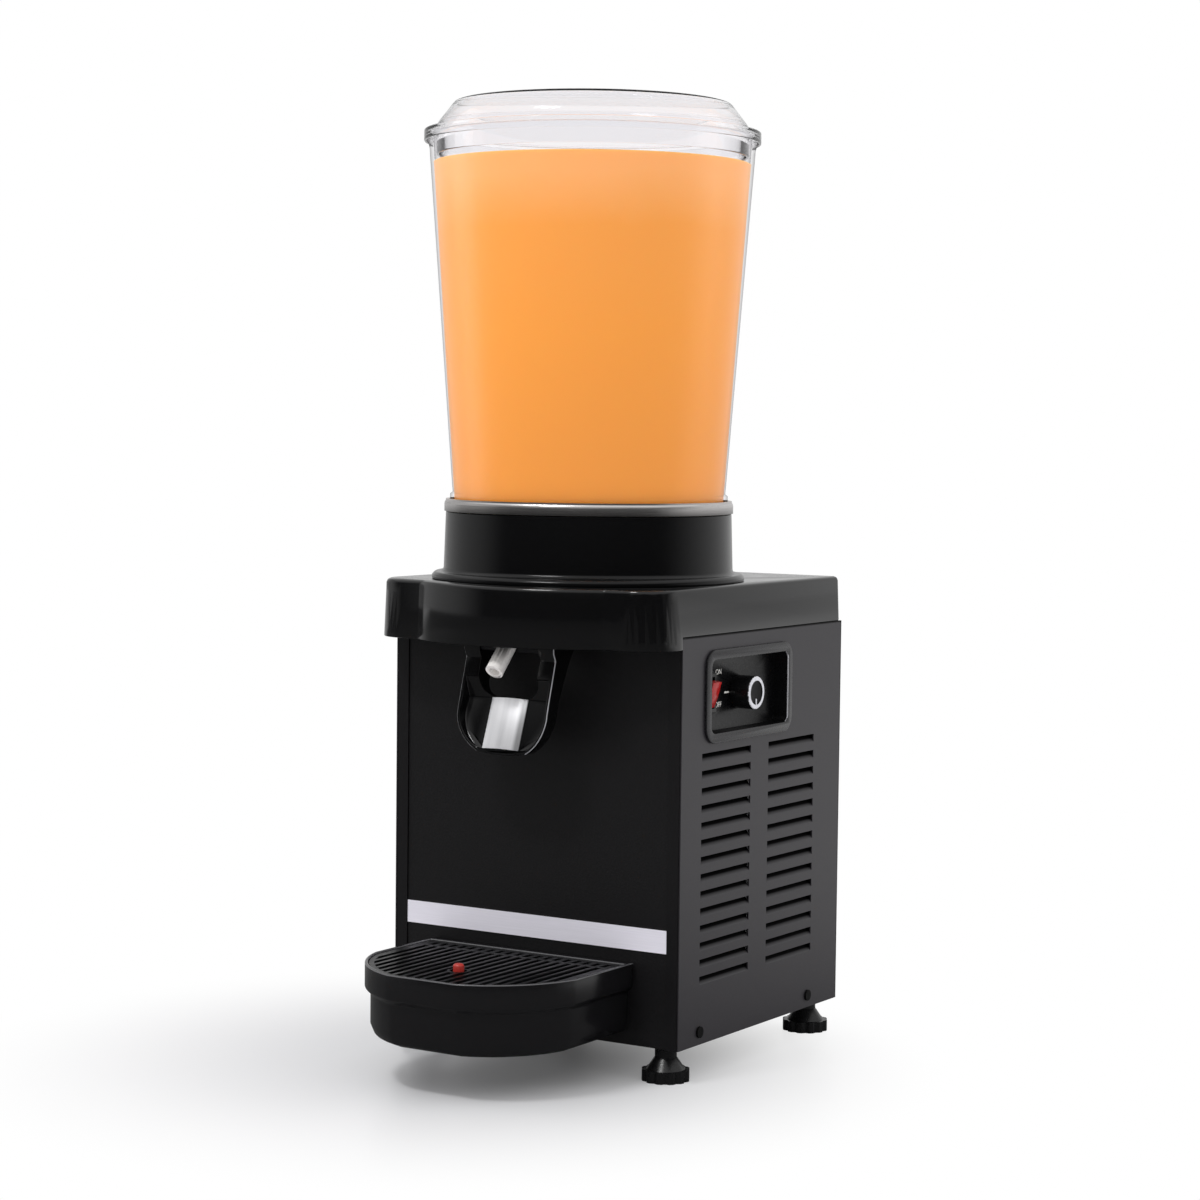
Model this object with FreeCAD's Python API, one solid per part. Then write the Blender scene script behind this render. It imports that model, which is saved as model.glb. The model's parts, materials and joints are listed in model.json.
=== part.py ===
import FreeCAD, Part
import math
import os

# Cold drink dispenser: a tall clear bowl on a cooled steel basin, a black sheet-metal body with
# a compressor inside, a push tap under a bow-fronted cover, and a drip tray hung on the front.
# Millimetres. X is the width, +X the side with the controls. Y is the depth, the tap faces -Y.
# Z is up. The pieces are drawn with the front panel at Y = 0 and the middle of the body at X = 0,
# and moved at the end so that the origin lies on the counter under the middle of the outer box.

V = FreeCAD.Vector
X_AXIS = V(1, 0, 0)
Y_AXIS = V(0, 1, 0)
Z_AXIS = V(0, 0, 1)
ORIGIN = V(0, 0, 0)
CUT = 1.0

# Clearances
fit_gap = 0.3
running_fit = 0.05
lay_gap = 0.1

# Body
body_width = 240.0
body_depth = 230.0
foot_height = 24.0
casing_height = 283.5
sheet = 1.2
base_sheet = 1.5
base_lip = 16.0
intake_half = 2.2
fold = 12.0

base_z = foot_height
casing_top = base_z + casing_height
side_half = body_width / 2
side_inner = side_half - sheet
rear_inner = body_depth - sheet
pan_top = base_z + base_sheet

# Front frame, panel and strip
post_width = 8.8
post_depth = 16.0
post_wall = 1.5
panel_recess = 1.0
rail_height = 14.0
strip_height = 16.0
strip_rise = 66.2
strip_thickness = 0.5

frame_half = side_inner - fit_gap
frame_top = casing_top - sheet - 2 * fit_gap
panel_half = frame_half - post_width - fit_gap
panel_back = panel_recess + sheet
strip_bottom = base_z + strip_rise

# Louvres of the sheet-metal sides and back
louvre_length = 68.0
louvre_height = 5.8
louvre_depth = 3.4
louvre_pitch = 11.9
louvre_rise = 41.7
side_louvre_rows = 14
rear_louvre_rows = 7
side_louvre_starts = (27.5, 121.0)
rear_louvre_inset = 26.0

louvre_bottom = base_z + louvre_rise
rear_louvre_starts = (rear_louvre_inset - side_half, side_half - rear_louvre_inset - louvre_length)

# Top cover
cover_overlap = 0.5
cover_height = 32.7
cover_wall = 2.5
cover_draft = 1.5
cover_drop = 8.5
cover_edge = 3.0
pad_reach = 34.0
corner_radius = 28.0
rear_corner_radius = 6.0
bulge_radius = 127.0

cover_half = side_half + cover_overlap
cover_bottom = casing_top + fit_gap
cover_top = cover_bottom + cover_height
skirt_bottom = casing_top - cover_drop

# Deck under the cover
deck_sheet = 1.5
deck_clearance = 1.5
motor_hole_radius = 32.0

deck_inset = cover_wall + cover_draft + deck_clearance
deck_z = casing_top + lay_gap
deck_top = deck_z + deck_sheet
deck_under = deck_z - lay_gap

# Basin, its cooling and the collar round it
basin_y = 67.0
basin_radius = 88.0
basin_wall = 1.0
basin_depth = 65.0
basin_corner = 6.0
ledge_sheet = 2.4
rim_radius = 103.4
rim_height = 8.7
stirrer_pin = 3.0
stirrer_pin_length = 14.0
coil_thickness = 6.0
coil_rise = 12.0
coil_height = 46.0
insulation_wall = 4.4
collar_height = 47.8
collar_wall = 2.0
collar_draft = 1.1
collar_foot_radius = 112.0
collar_foot_height = 5.0

collar_top = cover_top + collar_height
rim_bottom = collar_top + fit_gap
rim_top = rim_bottom + rim_height
ledge_z = rim_bottom + ledge_sheet
basin_floor = ledge_z - basin_depth
under_basin = basin_floor - basin_wall
basin_outer = basin_radius + basin_wall
coil_inner = basin_outer + fit_gap
coil_outer = coil_inner + coil_thickness
insulation_inner = coil_outer + fit_gap
insulation_radius = insulation_inner + insulation_wall
collar_inner = insulation_radius + fit_gap

# Bowl and lid
gasket_height = 2.0
gasket_width = 8.0
bowl_foot_radius = 99.4
bowl_foot_height = 8.0
bowl_low_radius = 97.6
bowl_high_radius = 115.8
bowl_height = 262.2
bowl_flare = 10.2
bowl_rim_radius = 117.0
bowl_rim_height = 4.5
bowl_wall = 2.5
lid_height = 22.7
lid_wall = 2.0
lid_flange = 3.0
lid_skirt_radius = 119.8
lid_skirt_drop = 5.0
lid_skirt_wall = 1.8
lid_plug_radius = 111.0
lid_plug_depth = 14.5
lid_top_radius = 98.6
lid_shoulder_radius = 109.2
lid_shoulder_drop = 13.6
lid_waist_radius = 113.0

bowl_foot_z = ledge_z + gasket_height
bowl_rim_z = bowl_foot_z + bowl_height
lid_seat = bowl_rim_z + lay_gap
lid_top = lid_seat + lid_height

# Dispensing tube and what pinches it
tap_angle = 46.0
tap_length = 62.3
tap_offset = 74.6
tube_radius = 6.3
tube_bore = 4.0
pinch_at = 36.1
pinch_half_height = 2.6
groove_radius = 12.0
rib_half = 10.8
pinch_run = 10.0
spigot_radius = 3.9
spigot_bore = 3.0
spigot_length = 18.0
tube_overlap = 9.0
bar_radius = 2.5

# Push lever. Points of its side outline are given as (ahead of the pin, below the pin)
pivot_reach = 8.0
pivot_drop = 7.5
pin_radius = 2.0
lever_half = 37.3
lever_drop = 77.0
lever_wall = 2.4
lever_crest = 22.5
lever_brow = (25.8, 6.0)
lever_chin = (23.2, 11.0)
lever_shin = (32.0, 42.0)
lever_bow = (35.0, 59.5)
lever_toe = 34.3
lever_heel = 22.5
lever_calf = (21.6, 57.0)
lever_knee = (17.5, 38.0)
lever_hollow = (7.0, 16.0)
face_top_at = (21.6, 38.6)
face_foot_drop = 73.4
dish_rim = (26.5, 24.0)
pocket_foot = (4.5, 4.0)
pocket_head = (1.6, 5.0)
flank_drop = 4.0
flank_bow = (3.4, 19.5)
toe_share = 0.54
toe_rise = 1.8
fork_half = 24.3
fork_drop = 38.0
fork_corner = 12.0
barrel_radius = 4.6
ear_gap = 0.7
ear_wall = 5.2
block_half = 46.0
block_plate = 2.4
plate_half = 15.0
plate_crown = 2.2
plate_sheet = 0.8
spring_radius = 3.6
spring_wire = 1.1
spring_length = 7.5

pivot_z = casing_top - pivot_drop
lever_bottom = pivot_z - lever_drop
fork_bottom = pivot_z - fork_drop
ear_outer = fork_half - ear_gap

# Drip tray, grate and float
tray_half = 84.0
tray_reach = 134.0
tray_rise = 58.0
tray_depth = 51.0
tray_wall = 2.3
tray_step = 4.0
tray_band = 17.0
tray_foot_radius = 9.0
tray_facet_half = 27.0
tray_bow = (58.5, 115.5)
tray_side_end = 72.0
facet_follow = 0.15
bow_follow = (0.68, 0.73)
side_follow = 0.3
tray_gap = 0.6
tray_back_land = 8.4
grate_thickness = 4.4
grate_drop = 1.0
grate_pitch = 8.0
grate_slot = 4.4
grate_border = 4.0
grate_rear_row = 10.0
float_y = -90.0
float_well = 6.0
float_radius = 9.0
float_body_height = 12.0
float_neck = 4.0
float_cap_radius = 3.8
float_cap_height = 6.0
float_cap_edge = 1.2
float_stem = 1.6
float_pin = 1.5
float_pin_height = 11.0
lug_x = 55.0
lug_width = 14.0
lug_sheet = 2.0
lug_reach = 8.0
lug_drop = 12.0

tray_rim_z = base_z + tray_rise
tray_bottom_z = tray_rim_z - tray_depth
tray_inside_z = tray_bottom_z + tray_wall
grate_top = tray_rim_z - grate_drop
grate_bottom = grate_top - grate_thickness
lug_z = tray_rim_z - lug_drop

# Levelling feet
foot_side_inset = 18.0
foot_inset = 14.0
stud_radius = 4.0
stud_show = 2.5
stud_reach = 30.0
pad_radius = 16.7
pad_notch = 1.6
pad_rim = 8.0
pad_shoulder = 13.5
pad_neck_radius = 7.6
pad_neck_height = 5.0
pad_lobes = 12
nut_across = 13.0
nut_height = 6.5

foot_x = side_half - foot_side_inset
pad_height = base_z - stud_show
stud_top = base_z + stud_reach

# Controls on the right side
bezel_y0 = 30.0
bezel_length = 122.0
bezel_rise = 208.0
bezel_height = 65.0
bezel_flange = 7.0
bezel_proud = 2.0
bezel_corner = 12.0
bezel_depth = 10.0
bezel_wall = 1.8
knob_reach = 62.0
knob_rise = 32.0
knob_radius = 11.8
knob_length = 15.7
knob_edge = 0.8
knob_ring = 2.5
knob_recess = 0.7
knob_shaft = 3.0
knob_grip = 8.0
thermostat_depth = 24.0
thermostat_half_y = 16.0
thermostat_half_z = 13.0
tab_length = 7.0
tab_half = 2.5
tab_sheet = 0.8
rocker_reach = 23.0
rocker_rise = 33.5
rocker_half_y = 7.5
rocker_half_z = 12.5
rocker_frame = 1.4
rocker_lip = 1.0
rocker_proud = 5.5
rocker_slope = 1.0
rocker_axle = 1.4
rocker_axle_depth = 4.0
rocker_axle_hold = 0.7
rocker_clearance = 1.6
rocker_tilt = 9.0
switch_depth = 22.0
switch_mouth = 14.0

pocket_floor = side_half - bezel_depth
pocket_back = pocket_floor - bezel_wall
bezel_face = side_half + bezel_proud
bezel_z0 = base_z + bezel_rise
knob_y = bezel_y0 + knob_reach
knob_z = bezel_z0 + knob_rise
knob_base = pocket_floor + fit_gap
knob_face = knob_base + knob_length
rocker_y = bezel_y0 + rocker_reach
rocker_z = bezel_z0 + rocker_rise
rocker_axle_x = pocket_floor - rocker_axle_depth

# Cooling machinery
machine_gap = 5.7
compressor_side_gap = 12.8
compressor_rear_gap = 20.8
compressor_height = 138.0
compressor_shoulder = 22.0
compressor_plate = 3.0
terminal_half = 20.0
terminal_depth = 12.0
terminal_rise = 40.0
terminal_height = 34.0
grommet_height = 10.0
grommet_radius = 7.0
grommet_inset = 12.0
condenser_inset = 54.0
condenser_depth = 36.0
condenser_y = 52.0
condenser_length = 144.0
condenser_rise = 22.5
condenser_height = 156.0
fin_pitch = 12.0
fin_sheet = 0.8
fin_depth = 3.0
fan_radius = 54.0
fan_blades = 5
fan_hub = 14.0
fan_depth = 9.0
fan_pitch_angle = 18.0
blade_sheet = 1.4
fan_clearance = 4.0
fan_standoff = 8.0
fan_motor_half = 22.0
fan_motor_length = 30.0
fan_shaft = 3.0
shroud_sheet = 2.0
bridge_half = 8.0
bridge_margin = 6.0
line_radius = 3.0
line_bend = 12.0
line_rise = 60.0
line_spacing = 19.0
line_inset = 20.0
magnet_radius = 18.0
magnet_height = 8.0
magnet_clearance = 2.0
stirrer_radius = 16.0
stirrer_hub = 7.0
stirrer_lift = 1.0
impeller_radius = 30.0
impeller_height = 14.0
vane_sheet = 2.0
vane_height = 11.0
drive_motor_half = 26.0
drive_motor_height = 38.0

can_bottom = pan_top + grommet_height
can_top = can_bottom + compressor_height
condenser_x = side_half - condenser_inset
condenser_z = pan_top + condenser_rise
fan_y = condenser_y + condenser_length / 2
fan_z = condenser_z + condenser_height / 2
fan_front = condenser_x - fit_gap - shroud_sheet - fan_standoff
motor_front = fan_front - fan_standoff
motor_back = motor_front - fan_motor_length
bridge_back = motor_back - shroud_sheet
compressor_radius = (bridge_back - machine_gap + side_inner - compressor_side_gap) / 2
compressor_x = bridge_back - machine_gap - compressor_radius
compressor_y = rear_inner - compressor_rear_gap - compressor_radius
grommet_reach = compressor_radius - grommet_inset
magnet_top = under_basin - magnet_clearance

# Screws and cord inlet
screw_head = 4.0
screw_head_height = 1.3
screw_shank = 1.8
screw_length = 7.0
side_screw_front = 28.0
side_screw_rear = 45.3
side_screw_rise = 9.0
rear_screw_inset = 8.0
rear_screw_margin = 20.0
gland_inset = 28.0
gland_rise = 12.0
gland_radius = 7.0
gland_bore = 3.6
gland_lip = 2.0
gland_depth = 5.0

side_screw_y = (side_screw_front, body_depth - side_screw_rear)
side_screw_z = base_z + side_screw_rise
gland_x = gland_inset - side_half
gland_z = base_z + base_lip + gland_rise

# The outer box runs from the left screw heads to the knob, and from the tray to the rear panel
left_limit = side_half + lay_gap + screw_head_height
origin_shift = V((left_limit - knob_face) / 2, (tray_reach - body_depth) / 2, 0)


def box(x0, x1, y0, y1, z0, z1):
    return Part.makeBox(x1 - x0, y1 - y0, z1 - z0, V(x0, y0, z0))


def centred_box(x0, x1, y, half_y, z, half_z):
    return box(x0, x1, y - half_y, y + half_y, z - half_z, z + half_z)


def rod(radius, start, end):
    return Part.makeCylinder(radius, (end - start).Length, start, end - start)


def post(radius, x, y, z0, z1):
    return rod(radius, V(x, y, z0), V(x, y, z1))


def joined(first, *others):
    return first.fuse(list(others)).removeSplitter()


def group(solids):
    return Part.makeCompound(solids)


def mirrored(shape):
    return shape.mirror(ORIGIN, X_AXIS)


def outline(steps, place):
    """Closed wire. A step is a point, or a pair (middle, end) for an arc."""
    first = place(*steps[0])
    last = first
    edges = []
    for step in steps[1:]:
        if isinstance(step[0], tuple):
            middle, end = place(*step[0]), place(*step[1])
            edges.append(Part.Arc(last, middle, end).toShape())
        else:
            end = place(*step)
            edges.append(Part.makeLine(last, end))
        last = end
    if not last.isEqual(first, 1e-6):
        edges.append(Part.makeLine(last, first))
    return Part.Wire(edges)


def plan(z):
    return lambda x, y: V(x, y, z)


def prism_x(steps, x0, x1):
    """Side outline in (y, z), drawn out along X."""
    wire = outline(steps, lambda y, z: V(x0, y, z))
    return Part.Face(wire).extrude(V(x1 - x0, 0, 0))


def prism_y(steps, y0, y1):
    """Front outline in (x, z), drawn out along Y."""
    wire = outline(steps, lambda x, z: V(x, y0, z))
    return Part.Face(wire).extrude(V(0, y1 - y0, 0))


def turned(steps, x=0.0, y=basin_y):
    """Profile in (radius, z) turned round an upright axis."""
    face = Part.Face(outline(steps, lambda r, z: V(x + r, y, z)))
    return face.revolve(V(x, y, 0), Z_AXIS, 360)


def corner_arc(centre_x, centre_y, radius, from_angle, to_angle):
    """Middle and end of an arc round a corner, for outline."""
    middle = math.radians((from_angle + to_angle) / 2)
    last = math.radians(to_angle)
    return (
        (centre_x + radius * math.cos(middle), centre_y + radius * math.sin(middle)),
        (centre_x + radius * math.cos(last), centre_y + radius * math.sin(last)),
    )


def rounded_rect(x0, x1, y0, y1, radius):
    """Steps of a rectangle with round corners, for any plane."""
    return [
        (x0 + radius, y0),
        (x1 - radius, y0),
        corner_arc(x1 - radius, y0 + radius, radius, -90, 0),
        (x1, y1 - radius),
        corner_arc(x1 - radius, y1 - radius, radius, 0, 90),
        (x0 + radius, y1),
        corner_arc(x0 + radius, y1 - radius, radius, 90, 180),
        (x0, y0 + radius),
        corner_arc(x0 + radius, y0 + radius, radius, 180, 270),
    ]


# The tap's axis leaves the basin floor forwards and down
tap_slope = math.radians(tap_angle)
tap_dir = V(0, -math.cos(tap_slope), -math.sin(tap_slope))
tap_up = V(0, -math.sin(tap_slope), math.cos(tap_slope))
tap_start = V(0, basin_y - tap_offset, basin_floor)
pinch_point = tap_start + tap_dir * pinch_at
pinch_offset = pinch_half_height + fit_gap + bar_radius
pivot = V(0, -pivot_reach, pivot_z)
bar_centre = pinch_point - tap_up * pinch_offset
anvil_centre = pinch_point + tap_up * pinch_offset


def on_tap(distance):
    return tap_start + tap_dir * distance


def tap_channel():
    """Space that the dispensing tube passes through."""
    return rod(tube_radius + CUT, tap_start, on_tap(tap_length))


def press_louvres(plate, starts, rows, place):
    """Cut each slot and leave its tongue, flush at the foot and pushed in at the top."""
    slot = box(-sheet - CUT, CUT, 0, louvre_length, 0, louvre_height)
    section = [
        (0, 0),
        (-louvre_depth, louvre_height),
        (-louvre_depth - sheet, louvre_height),
        (-sheet, 0),
    ]
    tongue = Part.Face(outline(section, lambda x, z: V(x, 0, z))).extrude(V(0, louvre_length, 0))
    spots = [(start, louvre_bottom + row * louvre_pitch) for start in starts for row in range(rows)]
    plate = plate.cut([place(slot, start, z) for start, z in spots])
    return joined(plate, *[place(tongue, start, z) for start, z in spots])


def foot_places():
    y1 = body_depth - foot_inset
    return [(-foot_x, foot_inset), (foot_x, foot_inset), (-foot_x, y1), (foot_x, y1)]


def side_screw_shank(y, clearance):
    return rod(screw_shank + clearance, V(side_half + lay_gap, y, side_screw_z),
               V(side_half + lay_gap - screw_length, y, side_screw_z))


def rear_screw_shank(x, z, clearance):
    return rod(screw_shank + clearance, V(x, body_depth - screw_length, z), V(x, body_depth, z))


def rear_screw_places():
    x = side_half - rear_screw_inset
    heights = (base_z + base_lip + rear_screw_margin, casing_top - rear_screw_margin)
    return [(side * x, z) for side in (-1, 1) for z in heights]


def base_pan():
    """Folded pan with holes for the feet and screws and an air intake under the fan."""
    half = frame_half - post_wall - fit_gap
    y0, y1 = panel_back + fit_gap, rear_inner - fit_gap
    pan = box(-half, half, y0, y1, base_z, base_z + base_lip)
    cuts = [box(-half + base_sheet, half - base_sheet, y0 + base_sheet, y1 - base_sheet,
                pan_top, base_z + base_lip + CUT)]
    for x, y in foot_places():
        cuts.append(post(stud_radius + fit_gap, x, y, base_z - CUT, pan_top + CUT))
    for y in side_screw_y:
        hole = side_screw_shank(y, running_fit)
        cuts += [hole, mirrored(hole)]
    for row in range(-2, 3):
        y = fan_y + row * fin_pitch
        cuts.append(box(motor_back, motor_front, y - intake_half, y + intake_half,
                        base_z - CUT, pan_top + CUT))
    return pan.cut(cuts)


def foot_nuts():
    """Weld nuts on the base that the studs screw into."""
    corner = nut_across / math.sqrt(3)
    turns = [math.radians(60 * k) for k in range(7)]
    nuts = []
    for x, y in foot_places():
        corners = [V(x + corner * math.cos(a), y + corner * math.sin(a), pan_top) for a in turns]
        wire = Part.makePolygon(corners)
        nut = Part.Face(wire).extrude(V(0, 0, nut_height))
        nuts.append(nut.cut(post(stud_radius + running_fit, x, y, pan_top - CUT, pan_top + nut_height + CUT)))
    return group(nuts)


def foot(x, y):
    """Levelling foot: a scalloped base, a tapered neck and the steel stud moulded into it."""
    points = []
    for k in range(3 * pad_lobes + 1):
        reach = pad_radius - (pad_notch if k % 3 == 0 else 0)
        angle = 2 * math.pi * k / (3 * pad_lobes)
        points.append(V(x + reach * math.cos(angle), y + reach * math.sin(angle), 0))
    base = Part.Face(Part.makePolygon(points)).extrude(V(0, 0, pad_rim))
    neck_z = pad_height - pad_neck_height
    neck = turned([(0, pad_rim), (pad_shoulder, pad_rim), (pad_neck_radius, neck_z),
                   (pad_neck_radius, pad_height), (0, pad_height)], x, y)
    return joined(base, neck, post(stud_radius, x, y, pad_height, stud_top))


def front_frame():
    """Two angle posts beside the front panel and the rail that joins them under the cover."""
    inner = frame_half - post_width
    steps = [(inner, 0), (frame_half, 0), (frame_half, post_depth), (frame_half - post_wall, post_depth),
             (frame_half - post_wall, post_wall), (inner, post_wall)]
    right = Part.Face(outline(steps, plan(base_z))).extrude(V(0, 0, frame_top - base_z))
    y0 = panel_back + fit_gap
    reach = frame_half - post_wall / 2
    rail = box(-reach, reach, y0, y0 + post_wall, frame_top - rail_height, frame_top)
    return joined(right, mirrored(right), rail)


def lug_spans(clearance):
    half = lug_width / 2 + clearance
    return [(side * lug_x - half, side * lug_x + half) for side in (-1, 1)]


def front_panel():
    panel = box(-panel_half, panel_half, panel_recess, panel_back, base_z, frame_top)
    slots = [box(x0, x1, panel_recess - CUT, panel_back + CUT, lug_z - fit_gap, lug_z + lug_sheet + fit_gap)
             for x0, x1 in lug_spans(fit_gap)]
    return panel.cut(slots)


def label_strip():
    return box(-panel_half, panel_half, panel_recess - strip_thickness, panel_recess,
               strip_bottom, strip_bottom + strip_height)


def tray_lugs():
    """Bent steel lugs behind the front panel. Their tongues pass through it and carry the tray."""
    lugs = []
    for x0, x1 in lug_spans(0):
        tongue = box(x0, x1, -lug_reach, panel_back + lug_sheet, lug_z, lug_z + lug_sheet)
        leg = box(x0, x1, panel_back, panel_back + lug_sheet, lug_z - fold, lug_z)
        lugs.append(joined(tongue, leg))
    return group(lugs)


def side_panel():
    """The right-hand side: a folded sheet with two columns of louvres."""
    skin = box(side_inner, side_half, 0, rear_inner, base_z, casing_top)
    top_fold = box(side_half - fold, side_half, post_depth + fit_gap, rear_inner,
                   casing_top - sheet, casing_top)
    rear_fold = box(side_half - fold, side_half, rear_inner - sheet, rear_inner,
                    base_z + base_lip + fit_gap, casing_top)
    panel = press_louvres(joined(skin, top_fold, rear_fold), side_louvre_starts, side_louvre_rows,
                          lambda shape, y, z: shape.translated(V(side_half, y, z)))
    holes = [side_screw_shank(y, fit_gap) for y in side_screw_y]
    holes += [rear_screw_shank(x, z, running_fit) for x, z in rear_screw_places() if x > 0]
    return panel.cut(holes)


def left_side_panel():
    return mirrored(side_panel())


def bezel_rect(inset):
    return rounded_rect(bezel_y0 + inset, bezel_y0 + bezel_length - inset, bezel_z0 + inset,
                        bezel_z0 + bezel_height - inset, bezel_corner - inset)


def right_side_panel():
    opening = prism_x(bezel_rect(bezel_flange - bezel_wall - fit_gap), side_inner - CUT, side_half + CUT)
    return side_panel().cut(opening)


def rear_panel():
    panel = box(-side_half, side_half, rear_inner, body_depth, base_z, casing_top)

    def place(shape, x, z):
        return shape.rotated(ORIGIN, Z_AXIS, 90).translated(V(x + louvre_length, body_depth, z))

    panel = press_louvres(panel, rear_louvre_starts, rear_louvre_rows, place)
    holes = [rod(gland_radius, V(gland_x, rear_inner - CUT, gland_z), V(gland_x, body_depth + CUT, gland_z))]
    holes += [rear_screw_shank(x, z, fit_gap) for x, z in rear_screw_places()]
    return panel.cut(holes)


def cover_level(inset, z):
    """Plan of the cover: straight sides, round corners, two flat pads and the bow between them."""
    half = cover_half - inset
    back = body_depth - inset
    radius = corner_radius - inset
    rear_radius = max(rear_corner_radius - inset, cover_edge / 3)
    bow = bulge_radius - inset
    pad_y = inset - pad_reach
    pad_x = math.sqrt(bow ** 2 - (basin_y - pad_y) ** 2)
    return outline([
        (-half, back - rear_radius),
        (-half, pad_y + radius),
        corner_arc(-half + radius, pad_y + radius, radius, 180, 270),
        (-pad_x, pad_y),
        ((0, basin_y - bow), (pad_x, pad_y)),
        (half - radius, pad_y),
        corner_arc(half - radius, pad_y + radius, radius, -90, 0),
        (half, back - rear_radius),
        corner_arc(half - rear_radius, back - rear_radius, rear_radius, 0, 90),
        (-half + rear_radius, back),
        corner_arc(-half + rear_radius, back - rear_radius, rear_radius, 90, 180),
    ], plan(z))


def top_cover():
    """Moulded shell: drafted skirt, rounded upper edge, deeper skirt in front of the panel."""
    shoulder = cover_edge * (1 - math.sqrt(0.5))
    levels = [
        (0, skirt_bottom),
        (cover_draft, cover_top - cover_edge),
        (cover_draft + shoulder, cover_top - shoulder),
        (cover_draft + cover_edge, cover_top),
    ]
    body = Part.makeLoft([cover_level(inset, z) for inset, z in levels], True, True)
    hollow = Part.Face(cover_level(cover_wall + cover_draft, skirt_bottom - CUT))
    hollow = hollow.extrude(V(0, 0, cover_top - cover_wall - skirt_bottom + CUT))
    below = box(-cover_half - CUT, cover_half + CUT, 0, body_depth + CUT, skirt_bottom - CUT, cover_bottom)
    return body.cut([hollow, below, post(collar_inner, 0, basin_y, cover_bottom, cover_top + CUT)])


def deck_plate():
    """Sheet under the cover that carries the basin and the stirrer's motor."""
    plate = Part.Face(cover_level(deck_inset, deck_z)).extrude(V(0, 0, deck_sheet))
    return plate.cut([post(motor_hole_radius, 0, basin_y, deck_z - CUT, deck_top + CUT), tap_channel()])


def neck_collar():
    """Black ring round the basin, with a beaded foot that lies on the cover."""
    outer_top = collar_inner + collar_wall
    outer_low = outer_top + collar_draft
    foot_top = cover_top + collar_foot_height
    return turned([
        (collar_inner, cover_top),
        (collar_foot_radius, cover_top),
        (collar_foot_radius, cover_top + collar_foot_height / 2),
        (collar_foot_radius - collar_foot_height / 2, foot_top),
        (outer_low, foot_top),
        (outer_top, collar_top),
        (collar_inner, collar_top),
    ])


def basin():
    """Steel basin with a ledge for the bowl, a raised rim, the stirrer's pin and the outlet stub."""
    shell = turned([
        (0, under_basin),
        (basin_outer - basin_corner, under_basin),
        (basin_outer, under_basin + basin_corner),
        (basin_outer, rim_bottom),
        (rim_radius, rim_bottom),
        (rim_radius, rim_top),
        (rim_radius - basin_wall, rim_top),
        (rim_radius - basin_wall, ledge_z),
        (basin_radius, ledge_z),
        (basin_radius, basin_floor + basin_corner),
        (basin_radius - basin_corner, basin_floor),
        (0, basin_floor),
    ])
    pin = post(stirrer_pin, 0, basin_y, under_basin, basin_floor + stirrer_pin_length)
    below = box(-basin_radius, basin_radius, -basin_radius, basin_y, cover_bottom - basin_radius,
                under_basin + basin_wall / 2)
    stub = rod(spigot_radius, tap_start, on_tap(spigot_length)).common(below)
    bore = rod(spigot_bore, on_tap(-spigot_bore), on_tap(spigot_length + CUT))
    return joined(shell, pin, stub).cut(bore)


def evaporator_coil():
    """Sleeve that the cooling tube fills, wound turn against turn round the basin."""
    low = basin_floor + coil_rise
    high = low + coil_height
    return turned([(coil_inner, low), (coil_outer, low), (coil_outer, high), (coil_inner, high)])


def basin_insulation():
    """Foam cup round the basin and its coil, open below for the stirrer's magnet."""
    floor_low, floor_high = deck_top + lay_gap, under_basin - fit_gap
    cup = turned([
        (motor_hole_radius, floor_low),
        (insulation_radius, floor_low),
        (insulation_radius, collar_top),
        (insulation_inner, collar_top),
        (insulation_inner, floor_high),
        (motor_hole_radius, floor_high),
    ])
    return cup.cut(tap_channel())


def bowl_gasket():
    outer = bowl_foot_radius - fit_gap
    inner = outer - gasket_width
    return turned([(inner, ledge_z), (outer, ledge_z), (outer, bowl_foot_z), (inner, bowl_foot_z)])


def bowl():
    """Clear tapered bowl, open below over the basin, with a thick foot and a bead at the rim."""
    foot_top = bowl_foot_z + bowl_foot_height
    return turned([
        (bowl_low_radius - bowl_wall, bowl_foot_z),
        (bowl_foot_radius, bowl_foot_z),
        (bowl_foot_radius, foot_top),
        (bowl_low_radius, foot_top),
        (bowl_high_radius, bowl_rim_z - bowl_flare),
        (bowl_rim_radius, bowl_rim_z - bowl_rim_height),
        (bowl_rim_radius, bowl_rim_z),
        (bowl_high_radius - bowl_wall, bowl_rim_z),
    ])


def lid():
    """Clear lid: flat crown, sloping shoulder, skirt over the bowl's rim and a plug ring inside."""
    flange_top = lid_seat + lid_flange
    plug_inner = lid_plug_radius - lid_wall
    skirt_inner = lid_skirt_radius - lid_skirt_wall
    shoulder_z = lid_top - lid_shoulder_drop
    return turned([
        (0, lid_top),
        (lid_top_radius, lid_top),
        (lid_shoulder_radius, shoulder_z),
        (lid_waist_radius, flange_top),
        (lid_skirt_radius, flange_top),
        (lid_skirt_radius, lid_seat - lid_skirt_drop),
        (skirt_inner, lid_seat - lid_skirt_drop),
        (skirt_inner, lid_seat),
        (lid_plug_radius, lid_seat),
        (lid_plug_radius, lid_seat - lid_plug_depth),
        (plug_inner, lid_seat - lid_plug_depth),
        (plug_inner, lid_seat),
        (lid_shoulder_radius - lid_wall, shoulder_z),
        (lid_top_radius - lid_wall, lid_top - lid_wall),
        (0, lid_top - lid_wall),
    ])


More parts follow.
